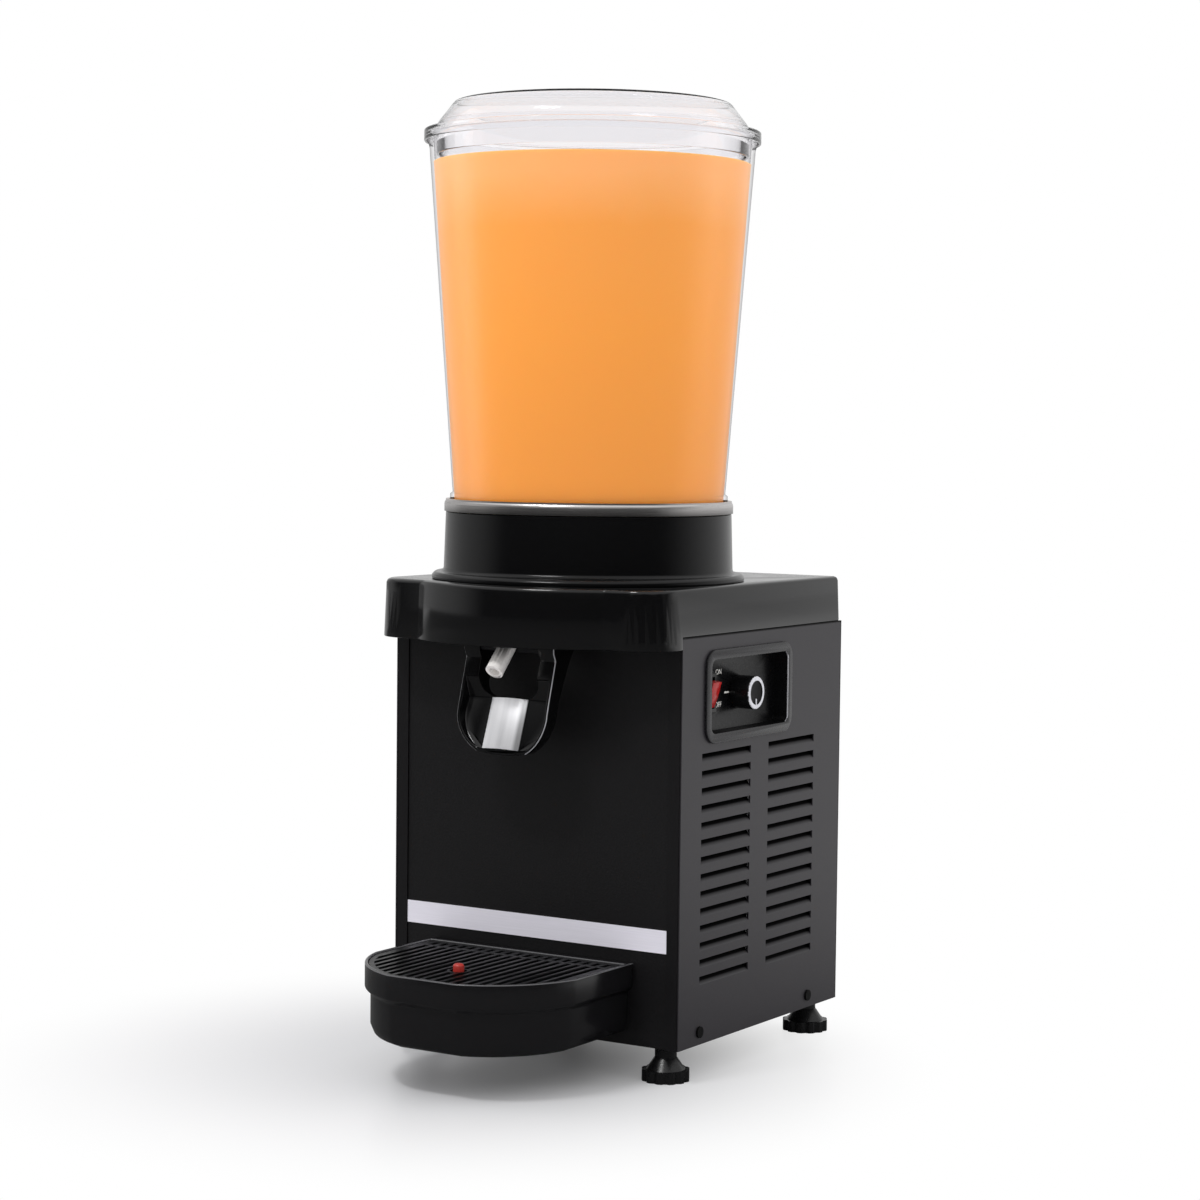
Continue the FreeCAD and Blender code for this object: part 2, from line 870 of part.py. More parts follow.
def agitator():
    """Stirring impeller on the basin's pin, with upright vanes."""
    z0 = basin_floor + stirrer_lift
    z1 = z0 + impeller_height
    disc = post(stirrer_radius, 0, basin_y, z0, z0 + impeller_height / 2)
    vanes = []
    for k in range(4):
        vane = box(stirrer_hub / 2, impeller_radius, -vane_sheet / 2, vane_sheet / 2, z0, z0 + vane_height)
        vanes.append(vane.rotated(ORIGIN, Z_AXIS, 90 * k).translated(V(0, basin_y, 0)))
    whole = joined(disc, post(stirrer_hub, 0, basin_y, z0, z1), *vanes)
    return whole.cut(post(stirrer_pin + running_fit, 0, basin_y, z0 - CUT, z1 + CUT))


def drive_magnet():
    z0 = magnet_top - magnet_height
    disc = post(magnet_radius, 0, basin_y, z0, magnet_top)
    return disc.cut(post(stirrer_pin + running_fit, 0, basin_y, z0 - CUT, magnet_top - magnet_height / 2))


def drive_motor():
    """Stirrer motor hung from the deck by two flanges, its shaft up in the magnet."""
    half = drive_motor_half
    flange_z = deck_under - base_sheet
    body = box(-half, half, basin_y - half, basin_y + half, deck_under - drive_motor_height, flange_z)
    flange = box(-half - fold, half + fold, basin_y - half, basin_y + half, flange_z, deck_under)
    shaft = post(stirrer_pin, 0, basin_y, deck_under, magnet_top - magnet_height / 2 - fit_gap)
    return joined(body, flange, shaft)


def dispensing_tube():
    """Soft spout, with the grooves that the lever's bar and the rib press in it to shut it."""
    top = spigot_length - tube_overlap
    tube = rod(tube_radius, on_tap(top), on_tap(tap_length))
    reach = X_AXIS * (tube_radius + CUT)
    grooves = []
    for way in (-1, 1):
        centre = pinch_point + tap_up * way * (pinch_half_height + groove_radius)
        grooves.append(rod(groove_radius, centre - reach, centre + reach))
    socket = rod(spigot_radius + running_fit, on_tap(top - CUT), on_tap(spigot_length + CUT))
    outlet = rod(tube_bore, on_tap(pinch_at + pinch_run), on_tap(tap_length + CUT))
    return tube.cut([socket, outlet] + grooves)


def tap_block():
    """Moulding under the deck: plate, two ears for the lever's pin and the rib behind the pinch."""
    plate_z = deck_under - block_plate
    inside = Part.Face(cover_level(deck_inset, plate_z)).extrude(V(0, 0, block_plate))
    plate = box(-block_half, block_half, anvil_centre.y - bar_radius, -CUT, plate_z, deck_under)
    plate = plate.common(inside).cut(tap_channel())
    rib = rod(bar_radius, anvil_centre - X_AXIS * rib_half, anvil_centre + X_AXIS * rib_half)
    web = box(-rib_half, rib_half, anvil_centre.y - bar_radius, anvil_centre.y + bar_radius,
              anvil_centre.z, deck_under)
    ears = []
    for side in (-1, 1):
        x0, x1 = sorted((side * ear_outer, side * (ear_outer - ear_wall)))
        ears.append(box(x0, x1, pivot.y - barrel_radius, pivot.y + barrel_radius, pivot_z, deck_under))
        ears.append(rod(barrel_radius, V(x0, pivot.y, pivot_z), V(x1, pivot.y, pivot_z)))
    bore = rod(pin_radius + running_fit, pivot - X_AXIS * block_half, pivot + X_AXIS * block_half)
    return joined(plate, rib, web, *ears).cut(bore)


# Push face of the lever: its upper edge, its foot, the slope between them and the way it faces
face_top = pivot - V(0, *face_top_at)
face_foot = pivot - V(0, lever_toe, face_foot_drop)
face_run = (face_foot - face_top).Length
face_along = (face_foot - face_top).normalize()
face_out = V(0, face_along.z, -face_along.y)


def lever_front(inset, top):
    """Front outline of the lever: straight sides that close in a round foot."""
    half = lever_half - inset
    foot_z = lever_bottom + inset
    knee_z = fork_bottom - flank_drop
    bow_x, bow_z = half - flank_bow[0], knee_z - flank_bow[1]
    toe_x, toe_z = toe_share * half, foot_z + toe_rise
    return [
        (-half, top),
        (-half, knee_z),
        ((-bow_x, bow_z), (-toe_x, toe_z)),
        ((0, foot_z), (toe_x, toe_z)),
        ((bow_x, bow_z), (half, knee_z)),
        (half, top),
    ]


def push_face_strip(low, high, inset):
    """Slab on the push face between two heights over it, crowned across its width."""
    origin = face_top + face_along * inset
    half = plate_half
    steps = [(-half, low), ((0, low + plate_crown), (half, low)), (half, high),
             ((0, high + plate_crown), (-half, high))]
    wire = outline(steps, lambda x, h: origin + X_AXIS * x + face_out * h)
    return Part.Face(wire).extrude(face_along * (face_run - 2 * inset))


def push_lever():
    """Forked lever: two arms on the pin, a raised edge all round and a sloping push face."""
    def from_pin(ahead, below):
        return (pivot.y - ahead, pivot.z - below)

    barrel = barrel_radius
    profile = [
        from_pin(0, -barrel),
        from_pin(lever_crest, -barrel),
        from_pin(lever_brow[0], 0),
        from_pin(*lever_brow),
        from_pin(*lever_chin),
        from_pin(*lever_shin),
        (from_pin(*lever_bow), from_pin(lever_toe, lever_drop)),
        from_pin(lever_heel, lever_drop),
        (from_pin(*lever_calf), from_pin(*lever_knee)),
        from_pin(*lever_hollow),
        from_pin(0, barrel),
        (from_pin(-barrel, 0), from_pin(0, -barrel)),
    ]
    front, back = pivot.y - lever_half - fold, lever_half
    slab = prism_x(profile, -lever_half, lever_half)
    slab = slab.common(prism_y(lever_front(0, deck_under), front, back))
    corner_z = fork_bottom + fork_corner
    fork = prism_y([
        (-fork_half, deck_under),
        (-fork_half, corner_z),
        corner_arc(-fork_half + fork_corner, corner_z, fork_corner, 180, 270),
        (fork_half - fork_corner, fork_bottom),
        corner_arc(fork_half - fork_corner, corner_z, fork_corner, 270, 360),
        (fork_half, deck_under),
    ], front, back)
    rim = from_pin(*dish_rim)
    dish = prism_x([
        (front, face_foot.z - CUT),
        (face_foot.y, face_foot.z - CUT),
        (face_foot.y, face_foot.z),
        (face_top.y, face_top.z),
        rim,
        (front, rim[1]),
    ], -lever_half, lever_half)
    dish = dish.common(prism_y(lever_front(lever_wall, pivot_z), front, back))
    low_z, high_z = face_foot.z + pocket_foot[1], face_top.z - pocket_head[1]
    pocket = prism_x([
        (face_foot.y + pocket_foot[0], low_z),
        (face_top.y + pocket_head[0], high_z),
        (back, high_z),
        (back, low_z),
    ], -lever_half, lever_half)
    pocket = pocket.common(prism_y(lever_front(2 * lever_wall, pivot_z), front, back))
    lever = joined(slab.cut([fork, dish, pocket]), push_face_strip(-lever_wall / 2, 0, 0))
    pin_reach = X_AXIS * (lever_half + CUT)
    bar_reach = X_AXIS * (lever_half - lever_wall)
    return lever.cut([rod(pin_radius + running_fit, pivot - pin_reach, pivot + pin_reach),
                      rod(bar_radius + running_fit, bar_centre - bar_reach, bar_centre + bar_reach)])


def lever_plate():
    return push_face_strip(lay_gap, lay_gap + plate_sheet, fit_gap)


def lever_pin():
    reach = X_AXIS * (lever_half - fit_gap)
    return rod(pin_radius, pivot - reach, pivot + reach)


def pinch_bar():
    reach = X_AXIS * (lever_half - lever_wall - fit_gap)
    return rod(bar_radius, bar_centre - reach, bar_centre + reach)


def lever_spring():
    """Torsion spring round the pin, inside the right ear, with a leg up to the block."""
    x1 = ear_outer - ear_wall - fit_gap
    x0 = x1 - spring_length
    body = rod(spring_radius, V(x0, pivot.y, pivot_z), V(x1, pivot.y, pivot_z))
    leg = box(x0, x0 + spring_wire, pivot.y + spring_radius - spring_wire, pivot.y + spring_radius,
              pivot_z, deck_under - block_plate - fit_gap)
    bore = rod(pin_radius + running_fit, V(x0 - CUT, pivot.y, pivot_z), V(x1 + CUT, pivot.y, pivot_z))
    return joined(body, leg).cut(bore)


def tray_level(inset, back, z):
    """Plan of the drip tray: a flat front facet, two bowed flanks and straight sides."""
    half = tray_half - inset
    front = tray_reach - inset
    facet = tray_facet_half - inset * facet_follow
    bow_x, bow_y = [at - inset * follow for at, follow in zip(tray_bow, bow_follow)]
    side_end = tray_side_end - inset * side_follow
    return outline([
        (-half, -back),
        (-half, -side_end),
        ((-bow_x, -bow_y), (-facet, -front)),
        (facet, -front),
        ((bow_x, -bow_y), (half, -side_end)),
        (half, -back),
    ], plan(z))


def tray_slab(inset, back, z0, z1):
    return Part.Face(tray_level(inset, back, z0)).extrude(V(0, 0, z1 - z0))


def tray_keel(inset, back, z0, z1, radius):
    """Lower part of the tray, or of its well, with the edge of its floor drawn in."""
    shoulder = radius * (1 - math.sqrt(0.5))
    levels = [(inset + radius, z0), (inset + shoulder, z0 + shoulder), (inset, z0 + radius), (inset, z1)]
    return Part.makeLoft([tray_level(in_by, back, z) for in_by, z in levels], True, True)


def drip_tray():
    """Moulded tray: band above, narrower well below, slots at the back for the lugs."""
    band_z = tray_rim_z - tray_band
    well_z = band_z - tray_step
    upper = tray_slab(0, tray_gap, band_z, tray_rim_z)
    step_levels = [tray_level(tray_step, tray_gap, well_z), tray_level(0, tray_gap, band_z)]
    step = Part.makeLoft(step_levels, True, True)
    lower = tray_keel(tray_step, tray_gap, tray_bottom_z, well_z, tray_foot_radius)
    mouth = tray_slab(tray_wall, tray_back_land, grate_bottom, tray_rim_z + CUT)
    well = tray_keel(tray_wall + tray_step, tray_back_land + tray_wall, tray_inside_z, grate_bottom + CUT,
                     tray_foot_radius - tray_wall)
    tray = joined(upper, step, lower).cut([mouth, well])
    pin = post(float_pin, 0, float_y, tray_bottom_z + tray_wall / 2, tray_inside_z + float_pin_height)
    slots = [box(x0, x1, -lug_reach - fit_gap, 0, lug_z - fit_gap, lug_z + lug_sheet + lay_gap)
             for x0, x1 in lug_spans(fit_gap)]
    return joined(tray, pin).cut(slots)


def drip_grate():
    """Moulded grate: slots front to back, a row of short ones behind and a hole for the float."""
    inset = tray_wall + fit_gap
    back = tray_back_land + fit_gap
    low, high = grate_bottom - CUT, grate_top + CUT
    field = tray_slab(inset + grate_border, back + grate_border, low, high)
    row_split = -back - grate_border - grate_rear_row
    rows = [(row_split, -back), (-tray_reach, row_split - grate_border)]
    count = int((tray_half - inset - grate_border) // grate_pitch)
    cuts = []
    for k in range(-count, count + 1):
        x0 = k * grate_pitch - grate_slot / 2
        cuts += [box(x0, x0 + grate_slot, y0, y1, low, high).common(field) for y0, y1 in rows]
    grate = tray_slab(inset, back, grate_bottom, grate_top).cut(cuts)
    boss = post(float_well + grate_border / 2, 0, float_y, grate_bottom, grate_top)
    return joined(grate, boss).cut(post(float_well, 0, float_y, low, high))


def float_indicator():
    """Red-capped float over the tray's pin: it rises when the tray is full."""
    z0 = tray_inside_z + lay_gap
    body_top = z0 + float_body_height
    cap = grate_top - float_cap_edge
    top = cap + float_cap_height
    body = turned([
        (0, z0),
        (float_radius, z0),
        (float_radius, body_top),
        (float_stem, body_top + float_neck),
        (float_stem, cap),
        (float_cap_radius, cap),
        (float_cap_radius, top - float_cap_edge),
        (float_cap_radius - float_cap_edge, top),
        (0, top),
    ], 0, float_y)
    pin_top = tray_inside_z + float_pin_height
    return body.cut(post(float_pin + fit_gap, 0, float_y, z0 - CUT, pin_top + fit_gap))


def control_bezel():
    """Moulded pocket in the right side, with a flat flange round its mouth."""
    flange = prism_x(bezel_rect(0), side_half + lay_gap, bezel_face)
    shell = prism_x(bezel_rect(bezel_flange - bezel_wall), pocket_back, bezel_face)
    hollow = prism_x(bezel_rect(bezel_flange), pocket_floor, bezel_face + CUT)
    x0, x1 = pocket_back - CUT, pocket_floor + CUT
    switch = centred_box(x0, x1, rocker_y, rocker_half_y + lay_gap, rocker_z, rocker_half_z + lay_gap)
    shaft = rod(knob_shaft + fit_gap, V(x0, knob_y, knob_z), V(x1, knob_y, knob_z))
    return joined(flange, shell).cut([hollow, switch, shaft])


def thermostat_knob():
    """Knob with a drawn-in edge and a raised ring on its face."""
    ring_outer = knob_radius - knob_edge
    steps = [(0, knob_base), (knob_radius, knob_base), (knob_radius, knob_face - knob_edge),
             (ring_outer, knob_face), (ring_outer - knob_ring, knob_face),
             (ring_outer - knob_ring, knob_face - knob_recess), (0, knob_face - knob_recess)]
    face = Part.Face(outline(steps, lambda radius, x: V(x, knob_y + radius, knob_z)))
    knob = face.revolve(V(0, knob_y, knob_z), X_AXIS, 360)
    return knob.cut(rod(knob_shaft + running_fit, V(knob_base - CUT, knob_y, knob_z),
                        V(knob_base + knob_grip, knob_y, knob_z)))


def terminal_tabs(back, y, z, spread_y, spread_z):
    return [centred_box(back - tab_length, back + CUT, y + side * spread_y, tab_half,
                        z + side * spread_z, tab_sheet / 2) for side in (-1, 1)]


def thermostat_body():
    """Thermostat behind the pocket, its shaft through the floor."""
    front = pocket_back - lay_gap
    case = centred_box(front - thermostat_depth, front, knob_y, thermostat_half_y, knob_z, thermostat_half_z)
    shaft = rod(knob_shaft, V(front - CUT, knob_y, knob_z), V(pocket_floor + knob_grip, knob_y, knob_z))
    tabs = terminal_tabs(front - thermostat_depth, knob_y, knob_z, thermostat_half_y / 2, 0)
    return joined(case, shaft, *tabs)


def switch_body():
    """Rocker switch housing that sits in the floor of the pocket."""
    y, z = rocker_half_y, rocker_half_z
    case = centred_box(pocket_floor - switch_depth, pocket_floor + CUT, rocker_y, y, rocker_z, z)
    lip = centred_box(pocket_floor + lay_gap, pocket_floor + CUT, rocker_y, y + rocker_lip,
                      rocker_z, z + rocker_lip)
    mouth = centred_box(pocket_floor - switch_mouth, pocket_floor + 2 * CUT, rocker_y, y - rocker_frame,
                        rocker_z, z - rocker_frame)
    tabs = terminal_tabs(pocket_floor - switch_depth, rocker_y, rocker_z, 0, rocker_half_z / 2)
    reach = y - rocker_frame + rocker_axle_hold + fit_gap
    bore = rod(rocker_axle + running_fit, V(rocker_axle_x, rocker_y - reach, rocker_z),
               V(rocker_axle_x, rocker_y + reach, rocker_z))
    return joined(case, lip, *tabs).cut([mouth, bore])


def rocker_button():
    """Red rocker, pushed in at its foot, on an axle in the switch's sides."""
    half_y = rocker_half_y - rocker_frame - fit_gap
    half_z = rocker_half_z - rocker_frame - rocker_clearance
    crest = pocket_floor + rocker_proud
    steps = [
        (rocker_axle_x, -half_z / 2),
        (pocket_floor - CUT, -half_z),
        (crest - 3 * rocker_slope, -half_z),
        (crest - rocker_slope, 0),
        (crest, half_z),
        (pocket_floor - CUT, half_z),
        (rocker_axle_x, half_z / 2),
    ]
    wire = outline(steps, lambda x, h: V(x, rocker_y - half_y, rocker_z + h))
    body = Part.Face(wire).extrude(V(0, 2 * half_y, 0))
    reach = rocker_half_y - rocker_frame + rocker_axle_hold
    axle = rod(rocker_axle, V(rocker_axle_x, rocker_y - reach, rocker_z),
               V(rocker_axle_x, rocker_y + reach, rocker_z))
    return joined(body, axle).rotated(V(rocker_axle_x, rocker_y, rocker_z), Y_AXIS, rocker_tilt)


def cord_gland():
    """Bushing for the supply cord in the rear panel, with no cord in it."""
    y0, y1 = rear_inner - gland_depth, body_depth - lay_gap
    barrel = rod(gland_radius - lay_gap, V(gland_x, y0, gland_z), V(gland_x, y1, gland_z))
    collar = rod(gland_radius + gland_lip, V(gland_x, y0, gland_z),
                 V(gland_x, rear_inner - lay_gap, gland_z))
    bore = rod(gland_bore, V(gland_x, y0 - CUT, gland_z), V(gland_x, y1 + CUT, gland_z))
    return joined(barrel, collar).cut(bore)


def side_screws():
    """Pan-head screws through both side panels into the base."""
    seat = side_half + lay_gap
    screws = []
    for y in side_screw_y:
        head = rod(screw_head, V(seat, y, side_screw_z), V(seat + screw_head_height, y, side_screw_z))
        screw = joined(head, side_screw_shank(y, 0))
        screws += [screw, mirrored(screw)]
    return group(screws)


def rear_screws():
    """Headless screws through the rear panel into the folds of the sides."""
    return group([rear_screw_shank(x, z, 0) for x, z in rear_screw_places()])


def grommet_places():
    reach = grommet_reach
    return [(compressor_x + x, compressor_y + y) for x in (-reach, reach) for y in (-reach, reach)]


def compressor():
    """Hermetic can on a foot plate, with the terminal box on its front."""
    r, shoulder = compressor_radius, compressor_shoulder
    x, y = compressor_x, compressor_y
    low = can_bottom + compressor_plate
    can = turned([(0, low), (r - shoulder, low), (r, low + shoulder), (r, can_top - shoulder),
                  (r - shoulder, can_top), (0, can_top)], x, y)
    reach = grommet_reach + grommet_radius
    plate = box(x - reach, x + reach, y - reach, y + reach, can_bottom, low)
    terminal_z = can_bottom + terminal_rise
    terminal = box(x - terminal_half, x + terminal_half, y - r - terminal_depth, y - r + terminal_depth,
                   terminal_z, terminal_z + terminal_height)
    return joined(can, plate, terminal)


def compressor_grommets():
    """Rubber mounts between the base and the compressor's plate."""
    return group([post(grommet_radius, x, y, pan_top, can_bottom) for x, y in grommet_places()])


def condenser():
    """Finned block between two tube plates."""
    x0, x1 = condenser_x, condenser_x + condenser_depth
    z0, z1 = condenser_z, condenser_z + condenser_height
    y0, y1 = condenser_y, condenser_y + condenser_length
    core = box(x0 + fin_depth, x1 - fin_depth, y0, y1, z0 + fin_depth, z1 - fin_depth)
    count = int(condenser_length // fin_pitch)
    step = (condenser_length - fin_sheet) / count
    fins = [box(x0, x1, y0 + k * step, y0 + k * step + fin_sheet, z0, z1) for k in range(count + 1)]
    return joined(core, *fins)


def fan_shroud():
    """Plate on the condenser with a round opening for the fan and a bridge for its motor."""
    x1 = condenser_x - fit_gap
    x0 = x1 - shroud_sheet
    opening = fan_radius + fan_clearance
    plate = box(x0, x1, condenser_y, condenser_y + condenser_length,
                pan_top, condenser_z + condenser_height)
    plate = plate.cut(rod(opening, V(x0 - CUT, fan_y, fan_z), V(x1 + CUT, fan_y, fan_z)))
    reach = opening + bridge_margin
    leg_at = reach - shroud_sheet / 2
    bridge = centred_box(bridge_back, motor_back, fan_y, bridge_half, fan_z, reach)
    legs = [centred_box(bridge_back, x0 + CUT, fan_y, bridge_half, fan_z + side * leg_at, shroud_sheet / 2)
            for side in (-1, 1)]
    return joined(plate, bridge, *legs)


def fan_motor():
    """Square-framed motor on the shroud's bridge."""
    frame = centred_box(motor_back, motor_front, fan_y, fan_motor_half, fan_z, fan_motor_half)
    shaft = rod(fan_shaft, V(motor_front - CUT, fan_y, fan_z), V(fan_front + fan_depth, fan_y, fan_z))
    return joined(frame, shaft)


def fan_blade():
    """Axial fan: hub and pitched blades."""
    middle = fan_depth / 2
    blades = []
    for k in range(fan_blades):
        blade = box(middle - blade_sheet / 2, middle + blade_sheet / 2, -fan_hub, fan_hub,
                    fan_hub / 2, fan_radius)
        blade = blade.rotated(V(middle, 0, 0), Z_AXIS, fan_pitch_angle)
        blades.append(blade.rotated(ORIGIN, X_AXIS, 360 * k / fan_blades))
    fan = joined(rod(fan_hub, ORIGIN, X_AXIS * fan_depth), *blades)
    bore = rod(fan_shaft + running_fit, X_AXIS * -CUT, X_AXIS * (fan_depth + CUT))
    return fan.cut(bore).translated(V(fan_front, fan_y, fan_z))


def bent_path(points, bend):
    """Straight runs through the points, joined by arcs that touch both runs."""
    edges = []
    last = points[0]
    for before, corner, after in zip(points, points[1:], points[2:]):
        backwards = (before - corner).normalize()
        ahead = (after - corner).normalize()
        half_angle = backwards.getAngle(ahead) / 2
        cut = bend / math.tan(half_angle)
        start, end = corner + backwards * cut, corner + ahead * cut
        inward = (backwards + ahead).normalize()
        middle = corner + inward * (bend / math.sin(half_angle) - bend)
        edges.append(Part.makeLine(last, start))
        edges.append(Part.Arc(start, middle, end).toShape())
        last = end
    edges.append(Part.makeLine(last, points[-1]))
    return Part.Wire(edges)


def refrigerant_lines():
    """Hot gas line to the condenser and suction line from the deck."""
    y = compressor_y
    gas_x, suction_x = compressor_x + line_spacing, compressor_x - line_spacing
    port = V(condenser_x + condenser_depth / 2, condenser_y + line_inset,
             condenser_z + condenser_height + lay_gap)
    high = can_top + line_rise
    start = V(gas_x, y, can_top + lay_gap)
    path = bent_path([start, V(gas_x, y, high), V(port.x, port.y, high), port], line_bend)
    section = Part.Face(Part.Wire(Part.makeCircle(line_radius, start, Z_AXIS)))
    return group([path.makePipe(section), post(line_radius, suction_x, y, can_top + lay_gap, deck_under)])


NODES = {
    "base_pan": base_pan,
    "foot_nuts": foot_nuts,
    "front_frame": front_frame,
    "front_panel": front_panel,
    "label_strip": label_strip,
    "tray_lugs": tray_lugs,
    "left_side_panel": left_side_panel,
    "right_side_panel": right_side_panel,
    "rear_panel": rear_panel,
    "top_cover": top_cover,
    "deck_plate": deck_plate,
    "neck_collar": neck_collar,
    "basin": basin,
    "evaporator_coil": evaporator_coil,
    "basin_insulation": basin_insulation,
    "bowl_gasket": bowl_gasket,
    "bowl": bowl,
    "lid": lid,
    "agitator": agitator,
    "drive_magnet": drive_magnet,
    "drive_motor": drive_motor,
    "dispensing_tube": dispensing_tube,
    "tap_block": tap_block,
    "push_lever": push_lever,
    "lever_plate": lever_plate,
    "lever_pin": lever_pin,
    "pinch_bar": pinch_bar,
    "lever_spring": lever_spring,
    "drip_tray": drip_tray,
    "drip_grate": drip_grate,
    "float_indicator": float_indicator,
    "control_bezel": control_bezel,
    "thermostat_knob": thermostat_knob,
    "thermostat_body": thermostat_body,
    "switch_body": switch_body,
    "rocker_button": rocker_button,
    "cord_gland": cord_gland,
    "side_screws": side_screws,
    "rear_screws": rear_screws,
    "compressor": compressor,
    "compressor_grommets": compressor_grommets,
    "condenser": condenser,
    "fan_shroud": fan_shroud,
    "fan_motor": fan_motor,
    "fan_blade": fan_blade,
    "refrigerant_lines": refrigerant_lines,
}

FOOT_NAMES = ("foot_front_left", "foot_front_right", "foot_rear_left", "foot_rear_right")


def main():
    os.makedirs("parts", exist_ok=True)
    for name, make in NODES.items():
        make().translated(origin_shift).exportStep("parts/" + name + ".step")
    for name, (x, y) in zip(FOOT_NAMES, foot_places()):
        foot(x, y).translated(origin_shift).exportStep("parts/" + name + ".step")


main()
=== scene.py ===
import json
import math

import bpy
from mathutils import Matrix, Vector

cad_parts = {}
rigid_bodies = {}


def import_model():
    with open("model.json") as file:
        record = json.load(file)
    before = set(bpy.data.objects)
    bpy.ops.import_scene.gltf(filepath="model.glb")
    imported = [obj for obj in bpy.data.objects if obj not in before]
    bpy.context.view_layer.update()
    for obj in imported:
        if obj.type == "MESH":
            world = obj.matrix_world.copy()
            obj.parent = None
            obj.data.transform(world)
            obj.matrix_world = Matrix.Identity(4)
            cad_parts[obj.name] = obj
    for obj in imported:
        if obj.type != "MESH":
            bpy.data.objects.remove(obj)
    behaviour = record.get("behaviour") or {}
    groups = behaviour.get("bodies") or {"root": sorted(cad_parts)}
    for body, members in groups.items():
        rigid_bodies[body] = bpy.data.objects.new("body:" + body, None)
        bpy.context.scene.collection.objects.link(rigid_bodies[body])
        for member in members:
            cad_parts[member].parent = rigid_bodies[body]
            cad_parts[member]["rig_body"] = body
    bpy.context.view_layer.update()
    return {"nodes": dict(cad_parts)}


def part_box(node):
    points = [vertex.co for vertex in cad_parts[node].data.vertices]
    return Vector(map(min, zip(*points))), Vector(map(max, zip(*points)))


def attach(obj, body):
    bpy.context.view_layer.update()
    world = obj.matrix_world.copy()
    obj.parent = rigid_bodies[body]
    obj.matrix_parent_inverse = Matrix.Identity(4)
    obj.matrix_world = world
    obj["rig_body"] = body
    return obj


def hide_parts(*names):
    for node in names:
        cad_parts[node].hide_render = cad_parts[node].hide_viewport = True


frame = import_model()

# Camera
# The photograph looks at the front and the right side from a little over two metres away,
# level with the lower part of the bowl and tipped a few degrees down.
camera_place = Vector((1.0988, -1.6977, 0.4521))
camera_turn = math.radians(32.43)
camera_tip = math.radians(90 - 3.56)
camera_roll = math.radians(0.636)
camera_data = bpy.data.cameras.new("camera")
camera_data.sensor_width = 36
camera_data.lens = 85.32
camera = bpy.data.objects.new("camera", camera_data)
camera.matrix_world = (
    Matrix.Translation(camera_place)
    @ Matrix.Rotation(camera_turn, 4, "Z")
    @ Matrix.Rotation(camera_tip, 4, "X")
    @ Matrix.Rotation(camera_roll, 4, "Z")
)
bpy.context.scene.collection.objects.link(camera)
bpy.context.scene.camera = camera
bpy.context.scene.view_settings.view_transform = "Standard"

# Studio
# A white floor that keeps a soft shadow, a white surround, and three soft boxes: a broad one
# on the right, a small one over the front, and a weaker one on the left.
floor_size = 40
shadow_centre = (-0.06, -0.07, 0)
shadow_reach = (0.08, 0.36)
bpy.ops.object.select_all(action="DESELECT")
bpy.ops.mesh.primitive_plane_add(size=floor_size)
floor = bpy.context.object
floor.name = "floor"
floor_paint = bpy.data.materials.new("floor_white")
floor_paint.use_nodes = True


def fed(tree, entry, value):
    """Gives a node's entry a plain number, or links another node's output to it."""
    if isinstance(value, (int, float)):
        entry.default_value = value
    else:
        tree.links.new(value, entry)


def worked(tree, operation, first, second, clamp=False):
    """Works out one value from two others."""
    node = tree.nodes.new("ShaderNodeMath")
    node.operation = operation
    node.use_clamp = clamp
    fed(tree, node.inputs[0], first)
    fed(tree, node.inputs[1], second)
    return node.outputs[0]


def either(tree, share, first, second):
    """Goes from the first value to the second as the share goes from 0 to 1."""
    node = tree.nodes.new("ShaderNodeMix")
    for entry, value in zip((0, 2, 3), (share, first, second)):
        fed(tree, node.inputs[entry], value)
    return node.outputs[0]


def graded(tree, value, start, end, low=0.0, high=1.0, smooth=False):
    """Turns a value that runs from start to end into one that runs from low to high."""
    node = tree.nodes.new("ShaderNodeMapRange")
    if smooth:
        node.interpolation_type = "SMOOTHSTEP"
    limits = {"From Min": start, "From Max": end, "To Min": low, "To Max": high}
    for label, limit in limits.items():
        node.inputs[label].default_value = limit
    tree.links.new(value, node.inputs["Value"])
    return node.outputs[0]


def blended(tree, share, first, second):
    """Mixes two shaders."""
    node = tree.nodes.new("ShaderNodeMixShader")
    for entry, source in enumerate((share, first, second)):
        tree.links.new(source, node.inputs[entry])
    return node.outputs[0]


tree = floor_paint.node_tree
shader = tree.nodes["Principled BSDF"]
shader.inputs["Base Color"].default_value = (0.8, 0.8, 0.82, 1)
shader.inputs["Roughness"].default_value = 0.3
shader.inputs["Specular IOR Level"].default_value = 0.3
ray = tree.nodes.new("ShaderNodeLightPath")
camera_ray, glossy_ray = ray.outputs["Is Camera Ray"], ray.outputs["Is Glossy Ray"]
depth_through = ray.outputs["Transmission Depth"]
place = tree.nodes.new("ShaderNodeTexCoord")
parts = tree.nodes.new("ShaderNodeSeparateXYZ")
away = tree.nodes.new("ShaderNodeVectorMath")
away.operation = "DISTANCE"
away.inputs[1].default_value = shadow_centre
tree.links.new(place.outputs["Object"], parts.inputs[0])
tree.links.new(place.outputs["Object"], away.inputs[0])
seen = worked(tree, "MAXIMUM", camera_ray, depth_through, clamp=True)
fade = graded(tree, away.outputs["Value"], *shadow_reach, 0.04, 1.0, smooth=True)
lift = worked(tree, "MULTIPLY", seen, fade)
glow = tree.nodes.new("ShaderNodeEmission")
lit = blended(tree, lift, shader.outputs[0], glow.outputs[0])
dull = tree.nodes.new("ShaderNodeBsdfDiffuse")
rearward = graded(tree, parts.outputs["Y"], -0.1, 0.9, 0.12, 0.8, smooth=True)
tree.links.new(rearward, dull.inputs["Color"])
direct = worked(tree, "SUBTRACT", glossy_ray, depth_through, clamp=True)
reflected = blended(tree, direct, lit, dull.outputs[0])
